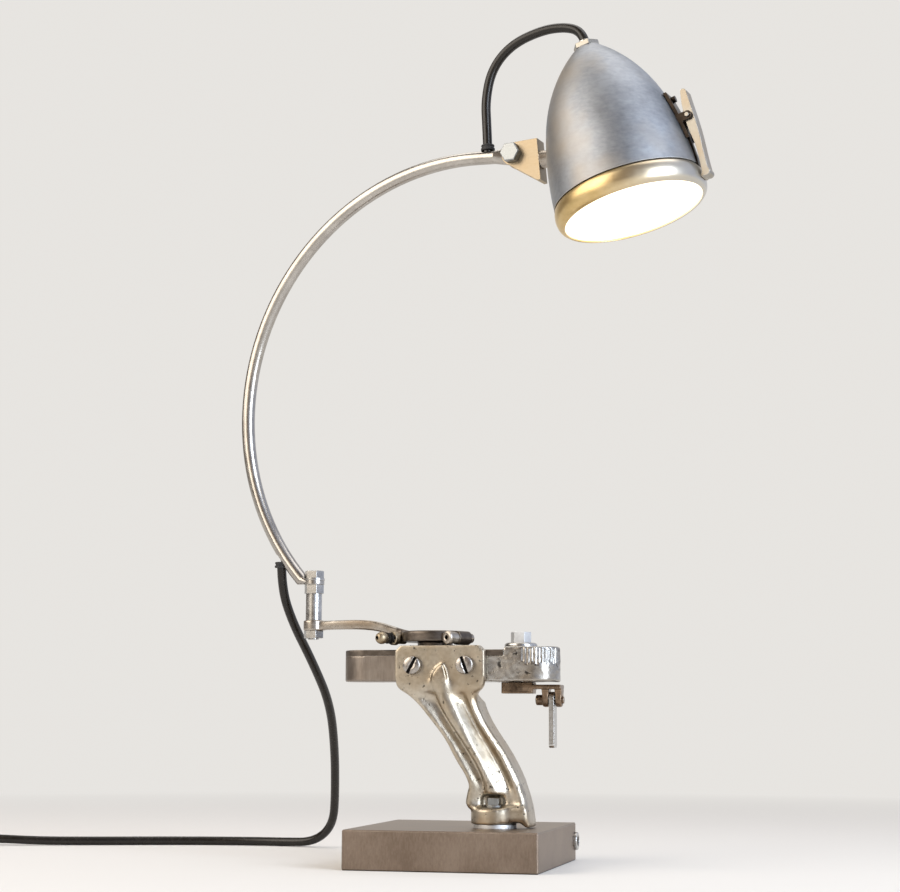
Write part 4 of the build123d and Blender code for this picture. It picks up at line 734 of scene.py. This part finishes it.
# %% Strut with the metal that closes round its bolt
FILLINGS = {
    "pocket_filling": ((12, -23.5, 41.5), (45, -8, 55)),
    "left_cheek": ((9, -29.0, 41.5), (19.6, -8, 55)),
    "right_cheek": ((36.4, -29.0, 41.5), (48, -8, 55)),
    "foot_bridge": ((34, -33, 32.6), (53.5, -9, 43.5)),
}


def block(name, low, high):
    """A plain block between two corners given in millimetres."""
    bpy.ops.object.select_all(action="DESELECT")
    bpy.ops.mesh.primitive_cube_add(size=1)
    piece = bpy.context.object
    piece.name = name
    low, high = Vector(low) / MM, Vector(high) / MM
    size, middle = high - low, (high + low) / 2
    piece.data.transform(Matrix.Translation(middle) @ Matrix.Diagonal((*size, 1)))
    return piece


fillings = [block(name, low, high) for name, (low, high) in FILLINGS.items()]
casting = worn_copy("casting", "strut", 0.0008, 14, strut_softness, relief=(0.010, 0.0004),
                    add=fillings)
wear_more(casting, 110, saddle_softness)

# %% Strut's corner and foot
HORN, HORN_REACH, HORN_DEPTH = 124.5, 7.0, 0.0055
ANKLE, ANKLE_REACH = 62.0, 6.0


def horn(place):
    """The flank's corner that stands out past the clamp plate."""
    x, y, z = place * MM
    if y <= -28.0:
        return 0.0
    return clamp(1.0 - abs(z - HORN) / HORN_REACH) * clamp((x - 8.0) / HORN_REACH)


def foot_softness(place):
    """Soft round the pocket, and crisp on the boss to its left."""
    x, y, z = place * MM
    return clamp((ANKLE - z) / ANKLE_REACH) if x > 33.0 or z > 41.0 else 0.1


press_in(casting, horn, HORN_DEPTH, "X")
wear_more(casting, 60, foot_softness)

# %% [markdown]
# ## Head with its fluted end
# The head is a flat bar on the left and a rough, round casting on the right, with upright flutes
# round its upper half. Cutting each flute would leave hard grooves. Displace presses the skin in
# along a wave round the end, so the flutes run out softly in a scalloped edge.

# %% Head casting with its round end
END_CENTRE = Vector((0.0553, -0.0100, 0.0))
END_RADIUS = 0.0185
ROUND_FROM = 0.024  # the bar ends and the round casting starts
FLUTE, FLUTE_DEPTH = 0.0026, 0.0006
FLUTE_LOW, FLUTE_HIGH, SCALLOP = 0.1452, 0.1560, 0.0011


def head_softness(place):
    """The bar stays crisp and the round casting wears."""
    return 1.0 if place.x > ROUND_FROM else 0.12


def end_relief(place):
    """Flutes on the round end's upper half, with a scalloped edge below them."""
    spot = place - END_CENTRE
    if spot.x > 0:
        angle = math.atan2(spot.x, -spot.y)
        along, out = END_RADIUS * angle, math.hypot(spot.x, spot.y)
    else:
        along, out = spot.x, abs(spot.y)
    lower = FLUTE_LOW + SCALLOP * math.sin(900 * along)
    if out < END_RADIUS - 0.0012 or along < -0.007 or not lower < place.z < FLUTE_HIGH:
        return 0.0
    return 0.5 + 0.5 * math.cos(2 * math.pi * along / FLUTE)


head = worn_copy("head_casting", "head_body", 0.0005, 8, head_softness, relief=(0.012, 0.0009))
press_in(head, end_relief, FLUTE_DEPTH)

# %% [markdown]
# ## Clevis and crank
# The clevis under the round end has small ears, rubbed quite round, on a lever that stays flat.
# The crank is a flat bar with a bend in its middle and a ring at its end. Both are worn copies too,
# with many rounds of Smooth on the ears and on the bar's bend, and few elsewhere.

# %% Clevis lever
EAR_TOP, EAR_LEFT = 0.1245, 0.055


def ear_softness(place):
    """Only the ears wear."""
    return 1.0 if place.z < EAR_TOP and place.x > EAR_LEFT else 0.10


clevis = worn_copy("clevis_lever", "cam_arm", 0.0004, 80, ear_softness)

# %% Crank with its flat bar and ring
BAR_END = -0.040
BEND_LEFT, BEND_RIGHT = -108.0, -38.0


def bar_softness(place):
    """The bar is rounder than the ring."""
    return 1.0 if place.x < BAR_END else 0.25


def middle_softness(place):
    """Soft along the bar's bend, fading out towards its two ends."""
    x = place.x * MM
    return clamp(min((x - BEND_LEFT) / 5.0, (BEND_RIGHT - x) / 8.0))


crank_bar = worn_copy("crank_bar", "crank_lever", 0.0005, 26, bar_softness)
wear_more(crank_bar, 45, middle_softness)

# %% [markdown]
# ## Slotted screws
# Two cheese-head screws clamp the strut's plate to the head. A boolean cut would leave a ragged
# edge, so the head is turned with a slight dome, two bisect cuts mark the slot and the faces
# between them are extruded inwards. The slot's walls are painted near black, a painted shade.

# %% Plate screws
SCREW_FRONT = -0.0381
SCREW_RINGS = [(0, -24), (3, -24), (3, 0), (6.5, 0), (6.5, 4.0), (6.25, 4.6), (5.7, 5.0),
               (3.0, 5.2), (0, 5.25)]
SLOT_HALF, SLOT_DEPTH, SLOT_HIGH = 0.00115, 0.0026, 0.0039


def slotted_screw(name, x, z, slot_angle):
    """A screw in the plate's front face, with its slot turned to an angle."""
    screw = turned(name, SCREW_RINGS, (0, 0, 0), (0, 0, 1))
    slot = Vector((math.cos(slot_angle), math.sin(slot_angle), 0))
    across = Vector((-slot.y, slot.x, 0))
    bpy.ops.object.mode_set(mode="EDIT")
    for side in (-SLOT_HALF, SLOT_HALF):
        bpy.ops.mesh.select_all(action="SELECT")
        bpy.ops.mesh.bisect(plane_co=across * side, plane_no=across)
    bpy.ops.mesh.select_all(action="DESELECT")
    bpy.ops.mesh.select_mode(type="FACE")
    bpy.ops.object.mode_set(mode="OBJECT")
    for polygon in screw.data.polygons:
        middle = polygon.center
        polygon.select = abs(middle.dot(across)) < SLOT_HALF and middle.z > SLOT_HIGH
    bpy.ops.object.mode_set(mode="EDIT")
    bpy.ops.mesh.extrude_region_move(TRANSFORM_OT_translate={"value": (0, 0, -SLOT_DEPTH)})
    bpy.ops.object.mode_set(mode="OBJECT")
    screw.data.materials.append(screw_steel)
    # The slot's walls are painted near black, a painted shade in the slot.
    colour_faces(screw, slot_shade_and_seal_rubber, lambda middle: abs(middle.dot(across)) < SLOT_HALF + 0.000002
                 and 0.0011 < middle.z < 0.0049 and math.hypot(middle.x, middle.y) < 0.0064)
    forwards = Matrix.Rotation(math.pi / 2, 4, "X")
    screw.data.transform(Matrix.Translation((x, SCREW_FRONT, z)) @ forwards)
    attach(screw, "stand")
    return screw


left_screw = slotted_screw("left_plate_screw", -0.0289, 0.1432, math.radians(62))
right_screw = slotted_screw("right_plate_screw", 0.0100, 0.1434, math.radians(110))
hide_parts("plate_screws")
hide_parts("plate_screws")

# %% [markdown]
# ## Fittings on the crank
# Two small bored fittings sit on the crank's ring: a ball with two dark sealing rings behind it,
# and a barrel. Both are turned along one slanting axis. The seals and the bores are dark faces of
# the same piece, picked by how far they lie along that axis and out from it. The seals are black
# rubber, and the bores' near black is a painted shade.

# %% Ball fitting
FITTING_AXIS = Vector((math.sin(math.radians(33)), math.cos(math.radians(33)), 0))
BALL_PLACE = Vector((-0.0543, -0.0360, 0.1633))
BALL_RINGS = [
    (0, 2), (1.5, 2), (1.5, -2.8), (2.3, -2.5), (3.3, -1.6), (4.1, -0.3), (4.5, 1.3), (4.4, 2.8),
    (3.9, 4.2), (3.1, 5.3), (2.9, 6.2), (3.9, 6.4), (4.1, 7.0), (3.9, 7.6), (3.0, 7.8),
    (3.0, 8.8), (3.9, 9.0), (4.1, 9.6), (3.9, 10.2), (3.0, 10.4), (3.0, 11.4), (4.5, 11.6),
    (4.9, 12.1), (4.9, 15.6), (4.5, 16.1), (3.9, 16.2), (3.9, 24), (0, 24)]
left_fitting = turned("ball_fitting", BALL_RINGS, BALL_PLACE, FITTING_AXIS)
left_fitting.data.materials.append(bracket_steel)


def along_fitting(middle, place):
    """How far a face lies along a fitting and out from its axis, in millimetres."""
    offset = (middle - place) * MM
    along = offset.dot(FITTING_AXIS)
    return along, (offset - along * FITTING_AXIS).length


def is_seal(middle):
    """The two rubber rings, and the ball's bore, whose near black is a painted shade."""
    along, out = along_fitting(middle, BALL_PLACE)
    return 6.1 < along < 11.5 or (out < 1.52 and -2.75 < along < 2.5)


colour_faces(left_fitting, slot_shade_and_seal_rubber, is_seal)
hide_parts("left_fitting")
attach(left_fitting, "crank")

# %% Barrel fitting
BARREL_PLACE = Vector((-0.0040, -0.0370, 0.1633))
BARREL_RINGS = [
    (0, 3), (1.5, 3), (1.5, -0.6), (2.0, -0.9), (3.7, -0.9), (4.6, -0.4), (5.0, 0.5), (5.0, 2.4),
    (4.6, 3.0), (4.2, 3.2), (4.2, 9), (4.5, 9.3), (4.5, 19.5), (4.1, 20.4), (3.4, 20.8),
    (3.4, 24.5), (0, 24.5)]
right_fitting = turned("barrel_fitting", BARREL_RINGS, BARREL_PLACE, FITTING_AXIS)
right_fitting.data.materials.append(hub_steel)


def is_bore(middle):
    """The open front of the barrel, whose near black is a painted shade."""
    along, out = along_fitting(middle, BARREL_PLACE)
    return out < 1.55 and math.hypot(along, out) < 3.4 and middle.y < -0.0345


colour_faces(right_fitting, slot_shade_and_seal_rubber, is_bore)
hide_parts("right_fitting")
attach(right_fitting, "crank")

# %% [markdown]
# ## Rim and bead
# A rolled rim holds the glass, and a thin bright bead closes the joint above it. The rim's section
# is a rounded hook, drawn as rings that go up the outside and come back inside, so it is a closed
# ring with a real edge round the glass.

# %% Rim that holds the glass
SHADE_UP = Vector((-0.2614, 0.0556, 0.9636)).normalized()
RIM_RINGS = [
    (52.9, 17.2), (53.4, 17.3), (54.6, 15.8), (55.3, 13.5), (55.6, 10.5), (55.5, 8.0), (54.9, 5.2),
    (53.8, 3.2), (52.4, 1.9), (51.2, 1.4), (50.6, 1.7), (50.6, 2.7), (52.1, 2.75), (52.9, 3.6),
    (52.9, 17.2)]
BEAD_RINGS = [(52.6, 18.0), (53.9, 18.0), (54.4, 18.5), (54.4, 19.2), (53.9, 19.8), (52.5, 20.2),
              (52.6, 18.0)]
rim = turned("rim", RIM_RINGS, LENS_CENTRE, SHADE_UP, sides=128)
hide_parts("rim_ring")
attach(rim, "shade")
bead = turned("shade_bead", BEAD_RINGS, LENS_CENTRE, SHADE_UP, sides=128)
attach(bead, "shade")

# %% [markdown]
# ## Spring behind the latch
# A dark bent spring fills the gap between the shade and the latch lever, and its black also stands
# for the shade in that gap, a painted shade. Its outline is easiest seen from the side: a plane
# becomes its first stretch, each next stretch is extruded from the top edge and moved to its place,
# and Solidify then gives the outline its width.

# %% Spring's outline, from the side
SPRING_ROWS = [(15.5, 53.2, 55.0), (16.5, 53.2, 55.0), (22, 53.0, 55.4), (30, 52.3, 55.0),
               (38, 51.2, 54.4), (45, 50.0, 54.6), (50, 49.0, 52.6)]  # height, inner, outer
TOUCH = 1e-6


def top_pair(mesh):
    """The two points of a sheet's highest edge, from left to right."""
    top = max(vertex.co.y for vertex in mesh.vertices)
    pair = [vertex for vertex in mesh.vertices if vertex.co.y > top - TOUCH]
    return sorted(pair, key=lambda vertex: vertex.co.x)


bpy.ops.object.select_all(action="DESELECT")
bpy.ops.mesh.primitive_plane_add(size=1)
spring = bpy.context.object
spring.name = spring.data.name = "latch_spring"
spring_corners = [[(inner / MM, height / MM, 0), (outer / MM, height / MM, 0)]
                  for height, inner, outer in SPRING_ROWS]
lowest_first = sorted(spring.data.vertices, key=lambda vertex: (vertex.co.y, vertex.co.x))
for vertex, corner in zip(lowest_first, spring_corners[0] + spring_corners[1]):
    vertex.co = corner
for corners in spring_corners[2:]:
    bpy.ops.object.mode_set(mode="EDIT")
    bpy.ops.mesh.select_mode(type="EDGE")
    bpy.ops.mesh.select_all(action="DESELECT")
    bpy.ops.object.mode_set(mode="OBJECT")
    upper = {vertex.index for vertex in top_pair(spring.data)}
    for edge in spring.data.edges:
        edge.select = set(edge.vertices) == upper
    bpy.ops.object.mode_set(mode="EDIT")
    bpy.ops.mesh.extrude_region_move(TRANSFORM_OT_translate={"value": (0, 0.001, 0)})
    bpy.ops.object.mode_set(mode="OBJECT")
    for vertex, corner in zip(top_pair(spring.data), corners):
        vertex.co = corner
print("spring outline", len(spring.data.vertices), "points")

# %% Spring's width and place
SHADE_OUT = Vector((0.9426, -0.2004, 0.2672)).normalized()
SHADE_SIDE = SHADE_UP.cross(SHADE_OUT)


def give_wall(piece, thickness, edge):
    """Turn a sheet into a wall with slightly rounded edges."""
    wall = piece.modifiers.new("wall", "SOLIDIFY")
    wall.thickness = thickness
    wall.offset = 0.0
    rounding = piece.modifiers.new("rounding", "BEVEL")
    rounding.width = edge
    rounding.segments = 2
    apply_all(piece)
    print(piece.name, len(piece.data.polygons), "faces")


give_wall(spring, 0.0070, 0.0004)
shade_axes = Matrix((SHADE_OUT, SHADE_UP, SHADE_SIDE)).transposed().to_4x4()
spring.data.transform(Matrix.Translation(LENS_CENTRE) @ shade_axes)
bpy.ops.object.mode_set(mode="EDIT")
bpy.ops.mesh.select_all(action="SELECT")
bpy.ops.mesh.normals_make_consistent(inside=False)
bpy.ops.object.mode_set(mode="OBJECT")
bpy.ops.object.shade_smooth_by_angle(angle=math.radians(35))
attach(spring, "shade")

# %% [markdown]
# ## Cord sleeves, grommets and tie
# The lead leaves the switch and the plug through ribbed rubber sleeves that taper, so it can't kink
# there. Each is turned like the fittings, from rings that a loop lays out rib by rib. The same
# helper makes the grommets in the arm's two holes. A strap holds the spare turns.

# %% Ribbed sleeves
RIBS, RIB_PITCH, RIB_TAPER = 6, 4.0, 0.27
SLEEVE_BORE, SLEEVE_WIDE = 3.55, 5.6
sleeve_rings = [(SLEEVE_BORE, 0), (SLEEVE_WIDE, 0)]
for rib in range(RIBS):
    start, wide = 2.0 + RIB_PITCH * rib, SLEEVE_WIDE - RIB_TAPER * rib
    sleeve_rings += [(wide, start), (wide - 0.55, start + 0.4), (wide - 0.6, start + 1.4),
                     (wide - 0.1, start + 1.8)]
sleeve_rings += [(4.0, 27.0), (SLEEVE_BORE, 27.4), (SLEEVE_BORE, 0)]


def rubber_part(name, rings, place, way, body, crease):
    """A sleeve or grommet round the lead."""
    piece = turned(name, rings, place, way, sides=32, crease=crease)
    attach(piece, body)
    return piece


switch_in = rubber_part("switch_sleeve_in", sleeve_rings, (-0.4482, 0.1022, 0.0064),
                        (0.955, 0.215, -0.02), "stand", crease=50)
switch_out = rubber_part("switch_sleeve_out", sleeve_rings, (-0.49885, 0.0923, 0.0062),
                         (-0.985, -0.17, -0.02), "stand", crease=50)
plug_sleeve = rubber_part("plug_sleeve", sleeve_rings, (-0.4860, 0.0005, 0.0073),
                          (-0.9999, 0.01, 0.0), "stand", crease=50)

# %% Grommets in the arm
GROMMET_RINGS = [(3.6, -1.2), (4.6, -1.4), (5.2, -1.0), (5.2, 0.2), (4.5, 0.5), (4.5, 1.6),
                 (5.0, 2.0), (4.8, 2.8), (4.2, 3.1), (3.6, 2.9), (3.6, -1.2)]
upper_grommet = rubber_part("upper_grommet", GROMMET_RINGS, (0.0264, -0.0396, 0.5243),
                            (-0.03, 0.01, 1), "arm", crease=35)
lower_grommet = rubber_part("lower_grommet", GROMMET_RINGS, (-0.1411, -0.0040, 0.2195),
                            (0.004, -0.12, 1), "arm", crease=35)

# %% [markdown]
# ## Strap round the coil
# A flat rubber band goes once round the bundle of turns. A plane with its corners bevelled round
# gives the band's outline, its face is deleted and the outline is extruded to the band's width.

# %% Strap around the coil
STRAP_SIDE, STRAP_CORNER, STRAP_WIDTH = 0.0156, 0.0032, 0.006
bpy.ops.object.select_all(action="DESELECT")
bpy.ops.mesh.primitive_plane_add(size=STRAP_SIDE)
strap = bpy.context.object
strap.name = strap.data.name = "coil_strap"
bpy.ops.object.mode_set(mode="EDIT")
bpy.ops.mesh.select_mode(type="VERT")
bpy.ops.mesh.select_all(action="SELECT")
bpy.ops.mesh.bevel(offset=STRAP_CORNER, segments=6, affect="VERTICES")
bpy.ops.mesh.select_all(action="SELECT")
bpy.ops.mesh.delete(type="ONLY_FACE")
bpy.ops.mesh.select_all(action="SELECT")
bpy.ops.mesh.extrude_region_move(TRANSFORM_OT_translate={"value": (0, 0, STRAP_WIDTH)})
bpy.ops.mesh.select_all(action="SELECT")
bpy.ops.mesh.normals_make_consistent(inside=False)
bpy.ops.object.mode_set(mode="OBJECT")
give_wall(strap, 0.0007, 0.0002)
bpy.ops.object.shade_smooth_by_angle(angle=math.radians(40))

# %% Strap's place on the coil
TIE_ANGLE, TIE_RADIUS, TIE_HEIGHT = math.radians(215), 0.0384, 0.0080
tie_place = COIL_CENTRE + Vector((TIE_RADIUS * math.cos(TIE_ANGLE),
                                  TIE_RADIUS * math.sin(TIE_ANGLE), TIE_HEIGHT))
upright = Matrix.Rotation(TIE_ANGLE, 4, "Z") @ Matrix.Rotation(math.pi / 2, 4, "X")
strap.data.transform(Matrix.Translation(tie_place) @ upright
                     @ Matrix.Translation((0, 0, -STRAP_WIDTH / 2)))
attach(strap, "stand")
print("strap at", [round(value, 4) for value in tie_place])

# %% [markdown]
# ## Dressing
# Every node and every new piece gets its finish by name. Two castings carry two finishes: the
# head's bar is browner than its round end, and the crank's ring is oiled.

# %% Finishes on the pieces
dress(block_steel, "base_block")
dress(pad_felt, "base_pad")
dress(cast_steel, "casting")
dress(ground_steel, "head_casting")
colour_faces(head, bar_steel, lambda middle: middle.x < -0.010)
dress(hub_steel, "crank_bar")
colour_faces(crank_bar, oiled_steel, lambda middle: middle.x > -0.048)
dress(oiled_steel, "top_plate")
dress(bright_zinc, "hub_screw", "cam_washer", "arm_bolt",
      "arm_washer", "arm_nuts", "arm_spacer", "shade_nut", "shade_screw", "side_bush",
      "shade_screw_nut", "gland_tube", "friction_washers", "hanging_tag")
dress(bracket_steel, "shade_bracket")
dress(cap_zinc, "shade_bolt", "foot_bolt")
dress(washer_zinc, "foot_washer", "cam_shaft")
dress(hub_steel, "bracket_spacer")
# The spring's black is partly a painted shade in the gap behind the latch lever.
dress(black_steel, "latch_strap", "latch_rivet", "latch_spring")
dress(tube_steel, "arm_tube")
dress(shade_aluminium, "shade_shell")
dress(rim_metal, "rim")
dress(latch_metal, "shade_bead")
dress(lens_glow, "lens", "bulb")
dress(seal_rubber, "lens_gasket", "upper_grommet", "lower_grommet", "coil_strap",
      "switch_sleeve_in", "switch_sleeve_out", "plug_sleeve")
dress(reflector_metal, "reflector")
dress(plug_plastic, "lampholder", "plug_body", "switch_base", "switch_cover", "switch_rocker")
dress(pin_brass, "bulb_cap", "plug_pins")
dress(latch_metal, "latch_lever", "latch_pin", "gland_nuts")
dress(dark_steel, "clevis_lever", "clevis_pin")
dress(cord_jacket, "arm_wires", "loop_cord", "upper_cord", "floor_cord", "tail_cord")

# %% [markdown]
# ## Stage
# A pale floor meets a pale background without a line: it keeps the lamp's shadow near the lamp and
# glows evenly further out. A warm key and a small card light it from the left front, a cool window
# from the right, and a strip from above. Metal shows what is round it, so the world is a dim room
# behind the camera, cooler on the right, while the camera itself sees the plain pale tone.

# %% Floor
PALE = (0.80, 0.78, 0.75)
FADE_FROM, FADE_TO = 0.55, 1.5
bpy.ops.mesh.primitive_plane_add(size=40.0, location=(0, 0, 0))
floor = bpy.context.object
floor.name = "floor"
floor_mat, floor_tree, floor_shader = new_material("pale_floor")
feed(floor_tree, floor_shader, {"Base Color": (*PALE, 1.0), "Roughness": 0.9,
                                "Specular IOR Level": 0.0})
far_glow = add_node(floor_tree, "Emission", {"Color": (*PALE, 1.0)})
reach = add_node(floor_tree, "VectorMath", {0: object_place(floor_tree)})
reach.operation = "LENGTH"
far_share = scale_to(floor_tree, reach.outputs["Value"], 0.0, 1.0, FADE_FROM, FADE_TO)
blend_out = add_node(floor_tree, "MixShader", {0: far_share, 1: floor_shader.outputs["BSDF"],
                                               2: far_glow.outputs["Emission"]})
feed(floor_tree, floor_tree.nodes["Material Output"], {"Surface": blend_out.outputs["Shader"]})
floor.data.materials.append(floor_mat)
print("floor fades from", FADE_FROM, "to", FADE_TO, "m")

# %% Lights


def soft_light(name, place, target, size, power, colour):
    """A rectangular light at a place, turned to a target."""
    light = bpy.data.lights.new(name, "AREA")
    light.shape = "RECTANGLE"
    light.size, light.size_y = size
    light.energy = power
    light.color = colour
    lamp = bpy.data.objects.new(name, light)
    bpy.context.collection.objects.link(lamp)
    lamp.location = place
    lamp.rotation_mode = "QUATERNION"
    lamp.rotation_quaternion = (Vector(target) - Vector(place)).to_track_quat("-Z", "Y")
    print(name, power, "W")


soft_light("key", (-1.6, -1.1, 1.5), (0, 0, 0.3), (2.2, 2.0), 38, (1.0, 0.93, 0.84))
soft_light("card", (-1.15, -1.75, 0.85), (0, 0, 0.4), (1.3, 1.2), 6.0, (1.0, 0.91, 0.78))
soft_light("window", (1.55, -0.95, 0.7), (0, 0, 0.3), (1.0, 1.4), 30, (0.78, 0.88, 1.0))
soft_light("top", (0.1, 0.2, 1.8), (0, 0, 0.3), (1.8, 1.0), 11, (1.0, 0.98, 0.95))

# %% Room round the lamp
ROOM = [(0.0, (0.26, 0.21, 0.17)), (0.30, (0.12, 0.10, 0.085)), (0.72, (0.22, 0.19, 0.165)),
        (0.93, PALE)]  # from behind the camera to the background
COOL = (0.58, 0.64, 0.80)
world = bpy.data.worlds.new("studio")
bpy.context.scene.world = world
world.use_nodes = True
sky = world.node_tree
direction = add_node(sky, "TexCoord").outputs["Generated"]
split = add_node(sky, "SeparateXYZ", {"Vector": direction})
depth = scale_to(sky, split.outputs["Y"], 0.0, 1.0, -1.0, 1.0)
room = ramp(sky, depth, ROOM)
side = scale_to(sky, split.outputs["X"], 0.0, 0.85, 0.05, 0.6)
room = mix(sky, side, room, COOL)
seen = add_node(sky, "LightPath").outputs["Is Camera Ray"]
feed(sky, sky.nodes["Background"], {"Color": mix(sky, seen, room, PALE), "Strength": 1.0})
bpy.context.scene.view_settings.view_transform = "Standard"
print("stage ready")
